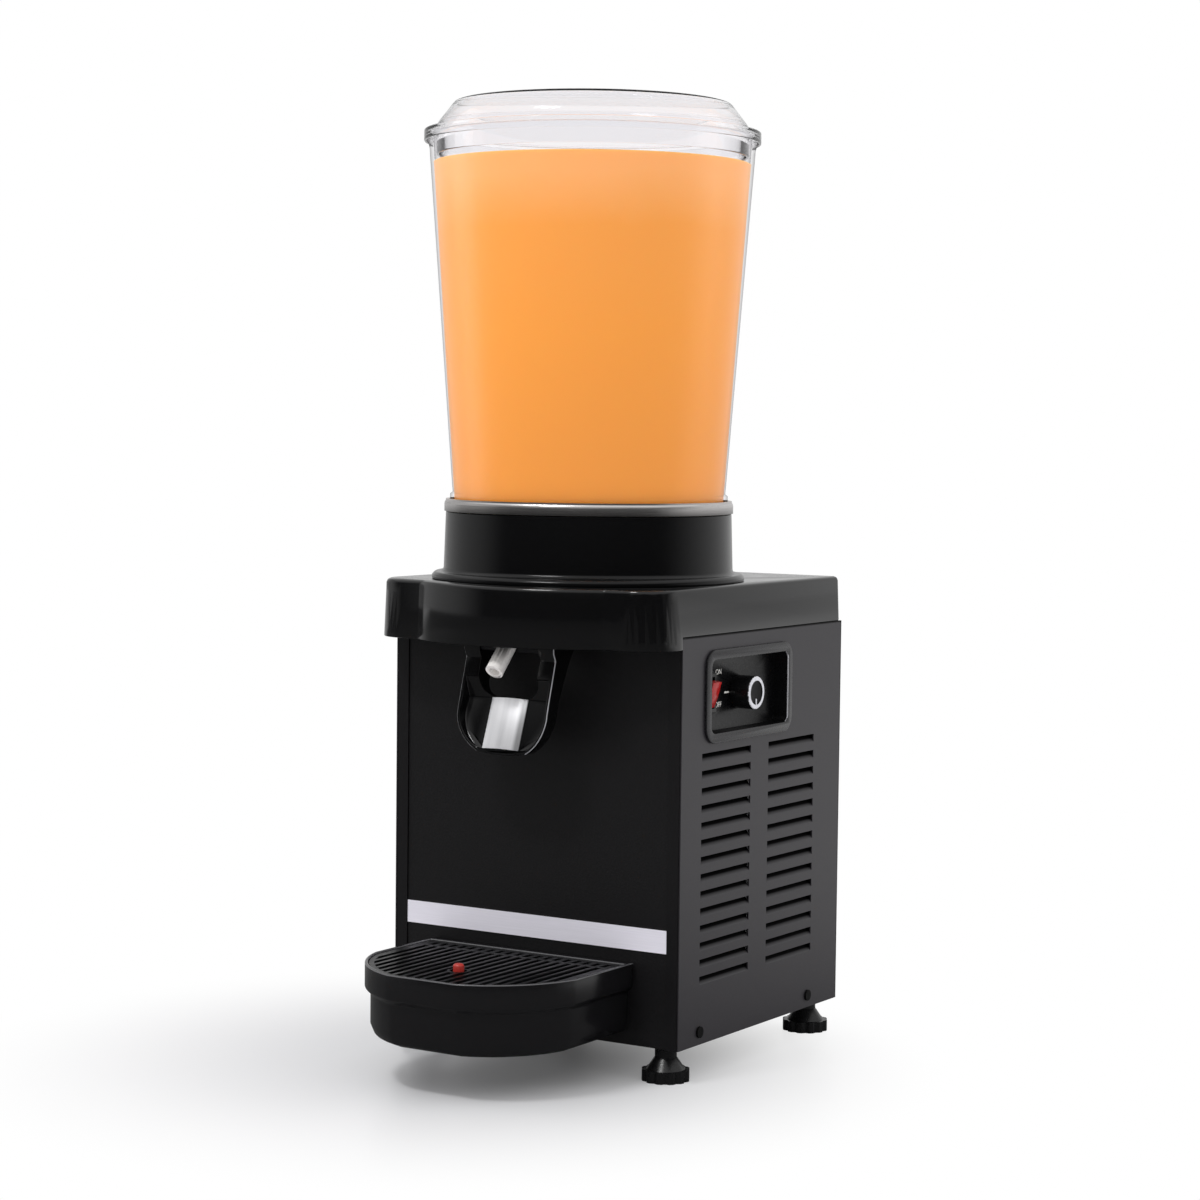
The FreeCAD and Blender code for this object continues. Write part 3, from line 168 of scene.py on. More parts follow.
tree.links.new(reflected, tree.nodes["Material Output"].inputs["Surface"])
floor.data.materials.append(floor_paint)

surround = bpy.data.worlds.new("surround")
surround.use_nodes = True
bpy.context.scene.world = surround
surround_light = 0.8
tree = surround.node_tree
sky = tree.nodes["Background"]
sky.inputs["Color"].default_value = (1, 1, 1, 1)
ray = tree.nodes.new("ShaderNodeLightPath")
camera_ray, glossy_ray = ray.outputs["Is Camera Ray"], ray.outputs["Is Glossy Ray"]
depth_through = ray.outputs["Transmission Depth"]
direction = tree.nodes.new("ShaderNodeTexCoord")
parts = tree.nodes.new("ShaderNodeSeparateXYZ")
tree.links.new(direction.outputs["Generated"], parts.inputs[0])
behind = graded(tree, parts.outputs["Y"], 0.0, 0.9, 0.03, 0.72, smooth=True)
beside = graded(tree, parts.outputs["X"], -0.55, -0.95, 0.0, 0.5, smooth=True)
above = graded(tree, parts.outputs["Z"], 0.3, 0.65, 0.0, 0.8, smooth=True)
sides = worked(tree, "MAXIMUM", behind, beside)
mirrored = worked(tree, "MAXIMUM", sides, above)
indirect = either(tree, glossy_ray, surround_light, mirrored)
straight = worked(tree, "MAXIMUM", camera_ray, depth_through, clamp=True)
level = either(tree, straight, indirect, 1.0)
tree.links.new(level, sky.inputs["Strength"])


def soft_box(name, place, target, width, height, power, mirrored=True):
    """A soft lamp that faces a target. One that isn't mirrored leaves no streak on gloss."""
    data = bpy.data.lights.new(name, "AREA")
    data.shape = "RECTANGLE"
    data.size = width
    data.size_y = height
    data.energy = power
    lamp = bpy.data.objects.new(name, data)
    lamp.location = place
    facing = Vector(target) - Vector(place)
    lamp.rotation_euler = facing.to_track_quat("-Z", "Y").to_euler()
    lamp.visible_glossy = mirrored
    bpy.context.scene.collection.objects.link(lamp)


soft_box("right_box", (1.7, 1.3, 1.0), (0, 0, 0.35), 1.2, 1.6, 8, mirrored=False)
soft_box("front_lamp", (-0.25, -1.3, 2.1), (0, 0, 0.4), 0.55, 0.3, 16)
soft_box("left_box", (-1.8, -0.5, 0.9), (0, 0, 0.35), 0.8, 1.6, 6, mirrored=False)

# Bowl
# A tall tapered bowl of clear moulded plastic. It is open below over the cooled basin, has a
# thick foot and a bead at the rim, and stands on a gasket.
turn_sides = 192


def turned(name, centre, rings, bevel=0.0, steps=3):
    """A circle raised ring by ring through (radius, height) pairs and closed on itself."""
    bpy.ops.object.select_all(action="DESELECT")
    radius, height = rings[0]
    place = (centre[0], centre[1], height)
    bpy.ops.mesh.primitive_circle_add(vertices=turn_sides, radius=radius, location=place)
    piece = bpy.context.object
    piece.name = name
    bpy.ops.object.transform_apply(location=True)
    bpy.ops.object.mode_set(mode="EDIT")
    bpy.ops.mesh.select_mode(type="EDGE")
    bpy.ops.mesh.select_all(action="SELECT")
    for (r0, z0), (r1, z1) in zip(rings, rings[1:] + rings[:1]):
        bpy.ops.mesh.extrude_edges_move(TRANSFORM_OT_translate={"value": (0, 0, z1 - z0)})
        pivot = (centre[0], centre[1], z1)
        bpy.ops.transform.resize(value=(r1 / r0, r1 / r0, 1), center_override=pivot)
    bpy.ops.mesh.select_all(action="SELECT")
    bpy.ops.mesh.remove_doubles(threshold=1e-6)
    bpy.ops.mesh.normals_make_consistent(inside=False)
    bpy.ops.object.mode_set(mode="OBJECT")
    if bevel:
        round_edges(piece, bevel, steps)
    bpy.ops.object.shade_smooth_by_angle(angle=math.radians(35))
    return piece


def round_edges(piece, width, steps, angle=32, clamp=True):
    """Rounds every edge that turns by more than the angle, in steps. A clamp keeps the
    rounding within the shortest edge beside it."""
    bpy.context.view_layer.objects.active = piece
    bevel = piece.modifiers.new("edge", "BEVEL")
    bevel.width = width
    bevel.segments = steps
    bevel.limit_method = "ANGLE"
    bevel.angle_limit = math.radians(angle)
    bevel.use_clamp_overlap = clamp
    bpy.ops.object.modifier_apply(modifier=bevel.name)


def clear_plastic(name, tint, haze, bend, edge):
    """Clear moulding, darker edge-on, whose haze wanders a little as on a washed bowl. Light
    reaches the drink through it, and past four walls the eye looks straight on."""
    material = bpy.data.materials.new(name)
    material.use_nodes = True
    tree = material.node_tree
    shader = tree.nodes["Principled BSDF"]
    edge_on = tree.nodes.new("ShaderNodeLayerWeight")
    edge_on.inputs["Blend"].default_value = 0.5
    tone = tree.nodes.new("ShaderNodeValToRGB")
    for stop, position, share in zip(tone.color_ramp.elements, (0.72, 0.97), (1, edge)):
        stop.position = position
        stop.color = (*[c * share for c in tint], 1)
    tree.links.new(edge_on.outputs["Facing"], tone.inputs["Fac"])
    tree.links.new(tone.outputs["Color"], shader.inputs["Base Color"])
    shader.inputs["Transmission Weight"].default_value = 1.0
    shader.inputs["IOR"].default_value = bend
    place = tree.nodes.new("ShaderNodeTexCoord")
    cloud = tree.nodes.new("ShaderNodeTexNoise")
    cloud.inputs["Scale"].default_value = 30
    cloud.inputs["Detail"].default_value = 3
    tree.links.new(place.outputs["Object"], cloud.inputs["Vector"])
    spread = graded(tree, cloud.outputs["Fac"], 0.0, 1.0, haze * 0.5, haze * 1.5)
    tree.links.new(spread, shader.inputs["Roughness"])
    ray = tree.nodes.new("ShaderNodeLightPath")
    later = worked(tree, "GREATER_THAN", ray.outputs["Transmission Depth"], 4.5)
    unseen = worked(tree, "MAXIMUM", ray.outputs["Is Shadow Ray"], ray.outputs["Is Diffuse Ray"])
    through = worked(tree, "MAXIMUM", later, unseen)
    open_air = tree.nodes.new("ShaderNodeBsdfTransparent")
    open_air.inputs["Color"].default_value = (0.97, 0.97, 0.975, 1)
    mixed = blended(tree, through, shader.outputs[0], open_air.outputs[0])
    tree.links.new(mixed, tree.nodes["Material Output"].inputs["Surface"])
    return material


hair = 0.00005
bowl_low, bowl_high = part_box("bowl")
axis = ((bowl_low.x + bowl_high.x) / 2, (bowl_low.y + bowl_high.y) / 2)
bowl_wall = 0.0025
bowl_low_radius = 0.0976
bowl_high_radius = 0.1158
bowl_foot_radius = 0.0994
bowl_rim_radius = (bowl_high.x - bowl_low.x) / 2 - hair
foot_top = bowl_low.z + 0.008
foot_slope = 0.001
rim_base = bowl_high.z - 0.0045
flare_base = bowl_high.z - 0.0102
bowl = turned("clear_bowl", axis, [
    (bowl_low_radius - bowl_wall, bowl_low.z),
    (bowl_foot_radius, bowl_low.z),
    (bowl_foot_radius, foot_top),
    (bowl_low_radius, foot_top + foot_slope),
    (bowl_high_radius, flare_base),
    (bowl_rim_radius, rim_base),
    (bowl_rim_radius, bowl_high.z),
    (bowl_high_radius - bowl_wall, bowl_high.z),
], bevel=0.0006, steps=2)
clear = clear_plastic("clear_bowl_plastic", (0.952, 0.946, 0.956), 0.02, 1.005, 0.35)
bowl.data.materials.append(clear)
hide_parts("bowl")
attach(bowl, "bowl_body")

# Juice
# The orange drink fills the bowl to just under the lid and wets its wall, so it reaches a hair
# into the plastic here. It is cloudy with pulp and froth, and its colour is painted paler
# towards the top and darker towards the bottom, as painted light and shade.
juice_bite = 0.0004
juice_low = bowl_low.z + 0.0006
juice_top = 0.636
juice_core = 0.004
wall_dip = 0.0012
wall_inset = 0.0003
meniscus = 0.0016
meniscus_dip = 0.0008
middle_dip = 0.001
wall_slope = (bowl_high_radius - bowl_low_radius) / (bowl_high.z - bowl_low.z)


def juice_radius(height):
    return bowl_low_radius - bowl_wall + juice_bite + wall_slope * (height - bowl_low.z)


def capped(piece, radius):
    """Takes out what lies within a radius of the axis and closes both holes with flat faces."""
    bpy.ops.object.mode_set(mode="EDIT")
    bpy.ops.mesh.select_mode(type="FACE")
    bpy.ops.mesh.select_all(action="DESELECT")
    bpy.ops.object.mode_set(mode="OBJECT")
    for face in piece.data.polygons:
        face.select = (Vector(face.center[:2]) - Vector(axis)).length < radius
    bpy.ops.object.mode_set(mode="EDIT")
    bpy.ops.mesh.delete(type="FACE")
    bpy.ops.mesh.select_mode(type="EDGE")
    bpy.ops.mesh.select_non_manifold()
    bpy.ops.mesh.fill_holes(sides=0)
    bpy.ops.mesh.select_all(action="SELECT")
    bpy.ops.mesh.normals_make_consistent(inside=False)
    bpy.ops.object.mode_set(mode="OBJECT")


juice = turned("juice", axis, [
    (juice_core, juice_low),
    (juice_radius(juice_low), juice_low),
    (juice_radius(foot_top), foot_top),
    (juice_radius(juice_top) - wall_inset, juice_top - wall_dip),
    (juice_radius(juice_top), juice_top),
    (juice_radius(juice_top) - meniscus, juice_top - meniscus_dip),
    (juice_core, juice_top - middle_dip),
])
capped(juice, juice_core + 0.0005)
drink = bpy.data.materials.new("orange_juice")
drink.use_nodes = True
tree = drink.node_tree
shader = tree.nodes["Principled BSDF"]
place = tree.nodes.new("ShaderNodeTexCoord")
parts = tree.nodes.new("ShaderNodeSeparateXYZ")
pulp = tree.nodes.new("ShaderNodeTexNoise")
pulp.inputs["Scale"].default_value = 14
pulp.inputs["Detail"].default_value = 5
pulp_share = 0.12
tree.links.new(place.outputs["Object"], parts.inputs[0])
tree.links.new(place.outputs["Object"], pulp.inputs["Vector"])
height = graded(tree, parts.outputs["Z"], juice_low, juice_top)
cloudy = worked(tree, "MULTIPLY", pulp.outputs["Fac"], pulp_share)
wander = worked(tree, "ADD", cloudy, height)
# Painted light and shade: the colour runs from darker orange at the bottom to paler at the top.
painted_light_by_height = tree.nodes.new("ShaderNodeValToRGB")
painted_light_by_height.color_ramp.elements[0].color = (0.77, 0.268, 0.026, 1)
painted_light_by_height.color_ramp.elements[1].color = (0.92, 0.4, 0.12, 1)
for position, colour in ((0.55, (0.86, 0.31, 0.03, 1)), (0.85, (0.87, 0.322, 0.042, 1))):
    painted_light_by_height.color_ramp.elements.new(position).color = colour
tree.links.new(wander, painted_light_by_height.inputs["Fac"])
tree.links.new(painted_light_by_height.outputs["Color"], shader.inputs["Base Color"])
shader.inputs["Roughness"].default_value = 0.35
shader.inputs["Subsurface Weight"].default_value = 0.25
shader.inputs["Subsurface Scale"].default_value = 0.012
shader.inputs["Subsurface Radius"].default_value = (1.0, 0.5, 0.2)
juice.data.materials.append(drink)
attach(juice, "bowl_body")

# Lid
# A clear lid whose skirt hangs over the bowl's rim and whose plug ring keeps it central. Its
# crown is flat, with a sloping shoulder.
lid_low, lid_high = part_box("lid")
seat = bowl_high.z + 0.0001
lid_wall = 0.002
plug_outer = 0.111
plug_inner = plug_outer - lid_wall
skirt_outer = (lid_high.x - lid_low.x) / 2 - hair
skirt_inner = skirt_outer - 0.0018
skirt_low = seat - 0.005
ledge = seat + 0.003
ledge_radius = 0.113
crown = lid_high.z
crown_radius = 0.0986
crown_flat = 0.0965
crown_under = crown - lid_wall
crown_under_flat = 0.0935
shoulder = crown - 0.0136
shoulder_under = shoulder - 0.0005
shoulder_radius = 0.1092
centre_radius = 0.009
centre_hole = 0.006
lid = turned("clear_lid", axis, [
    (centre_hole, crown),
    (centre_radius, crown),
    (crown_flat, crown),
    (crown_radius, crown),
    (shoulder_radius, shoulder),
    (ledge_radius, ledge),
    (skirt_outer, ledge),
    (skirt_outer, skirt_low),
    (skirt_inner, skirt_low),
    (skirt_inner, seat),
    (plug_outer, seat),
    (plug_outer, lid_low.z),
    (plug_inner, lid_low.z),
    (plug_inner, seat),
    (shoulder_radius - lid_wall, shoulder_under),
    (crown_radius - lid_wall, crown_under),
    (crown_under_flat, crown_under),
    (centre_radius, crown_under),
    (centre_hole, crown_under),
], bevel=0.0008, steps=3)
capped(lid, centre_radius)
clear = clear_plastic("clear_lid_plastic", (0.955, 0.95, 0.962), 0.02, 1.3, 0.68)
lid.data.materials.append(clear)
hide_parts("lid")
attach(lid, "lid_body")

# Basin, gasket and stirrer
# The stainless basin holds the cold part of the drink. Only its satin rim shows, between the
# bowl and the collar. A black gasket seals the bowl, and a white impeller stirs over the floor.
relief_depth = 0.0004


def finish(name, colour, roughness, grain, relief, metallic=0.0, stretch=(1, 1, 1),
           specular=0.5, spread=0.25):
    """A surface whose colour, sheen and relief follow one fine pattern, drawn out if brushed."""
    material = bpy.data.materials.new(name)
    material.use_nodes = True
    tree = material.node_tree
    shader = tree.nodes["Principled BSDF"]
    shader.inputs["Metallic"].default_value = metallic
    shader.inputs["Specular IOR Level"].default_value = specular
    place = tree.nodes.new("ShaderNodeTexCoord")
    scale = tree.nodes.new("ShaderNodeMapping")
    scale.inputs["Scale"].default_value = stretch
    pattern = tree.nodes.new("ShaderNodeTexNoise")
    pattern.inputs["Scale"].default_value = grain
    pattern.inputs["Detail"].default_value = 4
    tree.links.new(place.outputs["Object"], scale.inputs["Vector"])
    tree.links.new(scale.outputs[0], pattern.inputs["Vector"])
    fine = pattern.outputs["Fac"]
    usual = (0.3, 0.7)
    tone = tree.nodes.new("ShaderNodeValToRGB")
    shares = (1 - spread / 2, 1 + spread / 2)
    for stop, position, share in zip(tone.color_ramp.elements, usual, shares):
        stop.position = position
        stop.color = (*[c * share for c in colour], 1)
    tree.links.new(fine, tone.inputs["Fac"])
    tree.links.new(tone.outputs["Color"], shader.inputs["Base Color"])
    sheen = graded(tree, fine, *usual, roughness * 0.85, roughness * 1.15)
    tree.links.new(sheen, shader.inputs["Roughness"])
    bump = tree.nodes.new("ShaderNodeBump")
    bump.inputs["Strength"].default_value = relief
    bump.inputs["Distance"].default_value = relief_depth
    tree.links.new(fine, bump.inputs["Height"])
    tree.links.new(bump.outputs[0], shader.inputs["Normal"])
    return material


def shaded(material, axis_name, outer, inner, deep):
    """Paints shade along an axis between two places: darker colour and weaker reflection."""
    tree = material.node_tree
    shader = tree.nodes["Principled BSDF"]
    colour, level = shader.inputs["Base Color"], shader.inputs["Specular IOR Level"]
    place = tree.nodes.new("ShaderNodeTexCoord")
    parts = tree.nodes.new("ShaderNodeSeparateXYZ")
    tree.links.new(place.outputs["Object"], parts.inputs[0])
    shade = graded(tree, parts.outputs[axis_name], inner, outer, deep, 1.0)
    mix = tree.nodes.new("ShaderNodeMix")
    mix.data_type = "RGBA"
    mix.blend_type = "MULTIPLY"
    mix.inputs[0].default_value = 1.0
    tree.links.new(colour.links[0].from_socket, mix.inputs[6])
    tree.links.new(shade, mix.inputs[7])
    tree.links.new(mix.outputs[2], colour)
    gleam = level.links[0].from_socket if level.is_linked else level.default_value
    tree.links.new(worked(tree, "MULTIPLY", shade, gleam), level)


def dress(node, material):
    """Gives a node as built its real surface."""
    for place in frame["nodes"][node].material_slots:
        place.material = material


def refined(node, edge, steps=2, flat=1.0, angle=32, weld=1e-6, clamp=True):
    """A copy of a node, its triangles joined into faces and its edges rounded as real ones are."""
    source = frame["nodes"][node]
    piece = bpy.data.objects.new(node + "_rounded", source.data.copy())
    bpy.context.scene.collection.objects.link(piece)
    bpy.ops.object.select_all(action="DESELECT")
    piece.select_set(True)
    bpy.context.view_layer.objects.active = piece
    bpy.ops.object.mode_set(mode="EDIT")
    bpy.ops.mesh.select_all(action="SELECT")
    bpy.ops.mesh.remove_doubles(threshold=1e-6)
    bpy.ops.mesh.dissolve_limited(angle_limit=math.radians(flat))
    bpy.ops.mesh.remove_doubles(threshold=weld)
    bpy.ops.object.mode_set(mode="OBJECT")
    if edge:
        round_edges(piece, edge, steps, angle, clamp)
    bpy.ops.object.shade_smooth_by_angle(angle=math.radians(angle))
    piece.data.materials.clear()
    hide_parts(node)
    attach(piece, source["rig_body"])
    return piece


basin = refined("basin", edge=0.0)
rim_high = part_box("basin")[1]
rim_radius = rim_high.x - axis[0]
rim_margin = 0.0004
rim_rounding = 0.0035
rim_lit = rim_high.z - 0.003
rim_painted_shade = rim_high.z - 0.0085
brushed_round = (0.5, 0.5, 40)
rim_steel = finish("rim_stainless", (0.66, 0.64, 0.63), 0.3, 60, 0.12, metallic=1.0,
                   stretch=brushed_round)
# Painted shade: the rim's colour and reflection darken from 3 mm under its top down to 8.5 mm.
shaded(rim_steel, "Z", rim_lit, rim_painted_shade, 0.3)
basin.data.materials.append(rim_steel)
bpy.ops.object.mode_set(mode="EDIT")
bpy.ops.mesh.select_all(action="DESELECT")
bpy.ops.object.mode_set(mode="OBJECT")
for edge in basin.data.edges:
    ends = [basin.data.vertices[v].co for v in edge.vertices]
    reach = min((Vector(end[:2]) - Vector(axis)).length for end in ends)
    height = min(end.z for end in ends)
    edge.select = reach > rim_radius - rim_margin and height > rim_high.z - rim_margin
bpy.ops.object.mode_set(mode="EDIT")
bpy.ops.mesh.bevel(offset=rim_rounding, segments=5, affect="EDGES")
bpy.ops.object.mode_set(mode="OBJECT")
bpy.ops.object.shade_smooth_by_angle(angle=math.radians(32))
rubber = finish("gasket_rubber", (0.02, 0.02, 0.02), 0.7, 900, 0.2, spread=0.4)
dress("bowl_gasket", rubber)
white_moulding = finish("white_moulding", (0.8, 0.8, 0.78), 0.45, 300, 0.08)
dress("agitator", white_moulding)
dress("drive_magnet", white_moulding)

# Collar
# A black moulded ring that hides the cooling round the basin. It narrows slightly upwards and
# spreads into a beaded foot where it lies on the cover.
collar_low, collar_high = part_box("neck_collar")
collar_foot = (collar_high.x - collar_low.x) / 2 - hair
collar_inner = 0.1006
bead_round = 0.0022
bead_top = collar_low.z + 0.005
neck_low_radius = 0.1056
neck_radius = 0.1036
neck_top_radius = 0.1023
collar = turned("black_collar", axis, [
    (collar_inner, collar_low.z),
    (collar_foot, collar_low.z),
    (collar_foot, bead_top - bead_round),
    (collar_foot - bead_round, bead_top),
    (neck_low_radius, bead_top),
    (neck_radius, bead_top + bead_round),
    (neck_top_radius, collar_high.z),
    (collar_inner, collar_high.z),
], bevel=0.0009, steps=3)
black_moulding = (0.003, 0.003, 0.0033)
black_collar = finish("black_collar_moulding", black_moulding, 0.2, 900, 0.015, specular=0.3,
                      spread=0.3)
collar.data.materials.append(black_collar)
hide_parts("neck_collar")
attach(collar, "housing")

# Top cover
# One glossy moulding with drafted sides, square rear, rounded front corners and a bow that
# follows the bowl. Its upper edge is well rounded and catches the lamps.
cover = refined("top_cover", edge=0.0007, flat=0.6, weld=0.0003, clamp=False)
black_gloss = finish("black_gloss_moulding", black_moulding, 0.13, 700, 0.01, spread=0.3)
cover.data.materials.append(black_gloss)

# Casing
# Folded sheet steel in a satin charcoal paint: two louvred sides, the louvred back, the posts
# beside the front panel, and the screws that hold them. Shade is painted into the slots, and a
# shadow along the seam under the cover.
charcoal = (0.029, 0.0265, 0.031)
shade_start_inset = 0.0001
slot_shade_depth = 0.0016
left_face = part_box("left_side_panel")[0].x
right_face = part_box("right_side_panel")[1].x
rear_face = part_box("rear_panel")[1].y
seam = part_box("right_side_panel")[1].z
seam_shadow_start = seam - 0.0016
seam_painted_shadow = seam - 0.0006
for node, name, axis_name, face, inward in (
    ("left_side_panel", "left_paint", "X", left_face, 1),
    ("right_side_panel", "right_paint", "X", right_face, -1),
    ("rear_panel", "rear_paint", "Y", rear_face, -1),
):
    paint = finish(name, charcoal, 0.42, 1400, 0.06, spread=0.15)
    # Painted shade: colour and reflection darken inside the louvre slots, from just under the
    # face.
    shaded(paint, axis_name, face + inward * shade_start_inset, face + inward * slot_shade_depth, 0.02)
    # Painted shadow along the panel's top, where it meets the cover's edge.
    shaded(paint, "Z", seam_shadow_start, seam_painted_shadow, 0.1)
    dress(node, paint)
post_paint = finish("post_paint", (0.006, 0.0055, 0.0065), 0.4, 1400, 0.06, spread=0.2)
dress("front_frame", post_paint)
screw_black = finish("blackened_screws", (0.004, 0.004, 0.004), 0.55, 500, 0.1, specular=0.12)
dress("side_screws", screw_black)
dress("rear_screws", screw_black)
black_satin = finish("black_satin_moulding", black_moulding, 0.22, 900, 0.015, spread=0.3)
dress("cord_gland", black_satin)

# Front panel and strip
# The front is a painted steel sheet with a fine leather-like embossing, held by the frame
# round it. A bare silver film is stuck across it above the tray.
leather = finish("embossed_black", (0.007, 0.0066, 0.0075), 0.42, 700, 0.55, spread=0.3)
dress("front_panel", leather)
silver = finish("silver_film", (0.82, 0.8, 0.88), 0.38, 25, 0.05, stretch=(1, 1, 60), spread=0.06)
dress("label_strip", silver)

# Controls
# A deep glossy pocket in the right side holds the cold control's knob and a red rocker, with
# ON and OFF printed in white beside the rocker and one tick beside the knob.
edge_strip = 0.0009


def paint_edge_highlight(piece, material, picked):
    """Paints a highlight on the narrow rounded edges picked by place and normal: a paler surface.
    """
    piece.data.materials.append(material)
    for face in piece.data.polygons:
        corners = [piece.data.vertices[v].co for v in face.vertices]
        longest = max((a - b).length for a, b in zip(corners, corners[1:] + corners[:1]))
        if face.area / longest < edge_strip and picked(face.center, face.normal):
            face.material_index = len(piece.data.materials) - 1


bezel = refined("control_bezel", edge=0.0007, steps=2, weld=0.0002, clamp=False)
bezel_low, bezel_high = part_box("control_bezel")
bezel_middle = (bezel_low.y + bezel_high.y) / 2
flange_base = bezel_high.x - 0.0035
pocket_black = finish("pocket_black", (0.004, 0.004, 0.0045), 0.3, 700, 0.01, specular=0.25,
                      spread=0.3)
flange_satin = finish("flange_satin", (0.015, 0.0143, 0.0165), 0.28, 900, 0.03, spread=0.2)
for material in (pocket_black, flange_satin):
    bezel.data.materials.append(material)
for face in bezel.data.polygons:
    if face.center.x > flange_base:
        face.material_index = 1
# Painted highlight: a pale finish laid on narrow rounded edges that face the lamps.
edge_highlight_paint = finish("painted_edge_highlight", (0.4, 0.4, 0.42), 0.3, 900, 0.02)


def pocket_edge(at, normal):
    """The rounded edge at the pocket's rear end, which faces the front lamp and gets a painted
    highlight.
    """
    at_rear = at.y > bezel_middle and at.x > flange_base
    return at_rear and normal.x > 0.35 and normal.y < -0.35


# Painted highlight along the pocket's rear rounded edge.
paint_edge_highlight(bezel, edge_highlight_paint, pocket_edge)
knob = refined("thermostat_knob", edge=0.0003)
knob_low, knob_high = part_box("thermostat_knob")
knob_axis = Vector(((knob_low.y + knob_high.y) / 2, (knob_low.z + knob_high.z) / 2))
ring_depth = 0.0004
recess_depth = 0.0012
knob_black = finish("knob_black", (0.006, 0.006, 0.0065), 0.3, 300, 0.03, specular=0.3)
knob_silver = finish("knob_silver", (0.75, 0.75, 0.8), 0.35, 300, 0.03)
knob_grey = finish("knob_grey", (0.012, 0.012, 0.013), 0.5, 300, 0.03, specular=0.1)
for material in (knob_black, knob_silver, knob_grey):
    knob.data.materials.append(material)
for face in knob.data.polygons:
    if face.normal.x > 0.5 and face.center.x > knob_high.x - recess_depth:
        face.material_index = 1 if face.center.x > knob_high.x - ring_depth else 2
pointer_reach = 0.0065
pointer_size = (0.0007, 0.0012, 0.0042)
pointer_rounding = 0.0002
pointer_place = (knob_high.x - ring_depth, knob_axis[0], knob_axis[1] - pointer_reach)
bpy.ops.object.select_all(action="DESELECT")
bpy.ops.mesh.primitive_cube_add(size=1, location=pointer_place)
pointer = bpy.context.object
pointer.name = "knob_pointer"
pointer.scale = pointer_size
bpy.ops.object.transform_apply(location=True, rotation=False, scale=True)
bpy.ops.object.mode_set(mode="EDIT")
bpy.ops.mesh.bevel(offset=pointer_rounding, segments=2)
bpy.ops.object.mode_set(mode="OBJECT")
pointer.data.materials.append(knob_silver)
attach(pointer, frame["nodes"]["thermostat_knob"]["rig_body"])
print_white = finish("panel_print", (0.9, 0.89, 0.84), 0.5, 300, 0.02, spread=0.05)
pocket_face = knob_low.x - 0.0002
word_back = bezel_low.y + 0.0355
tick_back = bezel_low.y + 0.0485
on_height = 0.2795
off_height = 0.2565
tick_height = 0.2645
letter_size = 0.0052
ink = 0.00005
tick_size = (2 * ink, 0.0092, 0.0013)
tick_rounding = 0.00003


def printed(piece):
    piece.data.materials.append(print_white)
    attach(piece, frame["nodes"]["control_bezel"]["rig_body"])


for word, height in (("ON", on_height), ("OFF", off_height)):
    bpy.ops.object.select_all(action="DESELECT")
    bpy.ops.object.text_add()
    letters = bpy.context.object
    letters.name = "print_" + word.lower()
    letters.data.body = word
    letters.data.size = letter_size
    letters.data.extrude = ink
    letters.data.align_x = "CENTER"
    letters.data.align_y = "CENTER"
    bpy.ops.object.convert(target="MESH")
    letters = bpy.context.object
    letters.location = (pocket_face, word_back, height)
    letters.rotation_euler = (math.radians(90), 0, math.radians(90))
    bpy.ops.object.transform_apply(location=True, rotation=True, scale=True)
    printed(letters)
bpy.ops.object.select_all(action="DESELECT")
bpy.ops.mesh.primitive_cube_add(size=1, location=(pocket_face, tick_back, tick_height))
tick = bpy.context.object
tick.name = "print_tick"
tick.scale = tick_size
bpy.ops.object.transform_apply(location=True, rotation=False, scale=True)
bpy.ops.object.mode_set(mode="EDIT")
bpy.ops.mesh.bevel(offset=tick_rounding, segments=1)
bpy.ops.object.mode_set(mode="OBJECT")
printed(tick)
rocker = refined("rocker_button", edge=0.0005)
red = finish("red_rocker", (0.42, 0.012, 0.012), 0.22, 200, 0.02)
rocker.data.materials.append(red)
dress("switch_body", black_satin)

# Lever and tap
# The glossy forked lever hangs on a steel pin and carries a bent steel plate where the cup
# pushes. Behind it a soft cream tube is pinched between the lever's bar and the block.
lever = refined("push_lever", edge=0.0008, steps=3, weld=0.0003, clamp=False)
lever.data.materials.append(black_gloss)
lever_low, lever_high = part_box("push_lever")
lever_middle = (lever_low.x + lever_high.x) / 2
fork_half = 0.012


def lever_side(at, normal):
    """The rounded edges of the fork's outer sides, turned a little to the front, that get a
    painted highlight.
    """
    off_middle = at.x - lever_middle
    outward = normal.x * math.copysign(1, off_middle)
    return abs(off_middle) > fork_half and 0.3 < outward < 0.97 and normal.y < -0.15


# Painted highlight along the fork's outer rounded edges.
paint_edge_highlight(lever, edge_highlight_paint, lever_side)
plate = refined("lever_plate", edge=0.00015)
plate_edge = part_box("lever_plate")[1].x
plate_lit = plate_edge - 0.0058
plate_painted_shade = plate_edge - 0.0026
bright_plate = finish("satin_plate", (0.93, 0.93, 0.95), 0.34, 9, 0.02, metallic=0.55,
                      stretch=(12, 1, 0.3))
# Painted shade: the plate darkens towards its right edge, in place of a dimmer reflection there.
shaded(bright_plate, "X", plate_lit, plate_painted_shade, 0.4)
plate.data.materials.append(bright_plate)
spout = refined("dispensing_tube", edge=0.0, flat=0.1, angle=40)
cream = finish("cream_tube", (0.92, 0.89, 0.86), 0.45, 120, 0.05, spread=0.1)
spout.data.materials.append(cream)
# Painted shade: the pin and the pinch bar are painted near black, as the shade inside the fork.
steel_painted_dark_for_shade = finish("steel_painted_dark_for_shade", (0.01, 0.01, 0.011), 0.45, 200, 0.05, specular=0.3)
dress("lever_pin", steel_painted_dark_for_shade)
dress("pinch_bar", steel_painted_dark_for_shade)
satin_steel = finish("satin_stainless", (0.62, 0.62, 0.63), 0.32, 60, 0.15, metallic=1.0,
                     stretch=brushed_round)
dress("lever_spring", satin_steel)
dress("tap_block", black_satin)

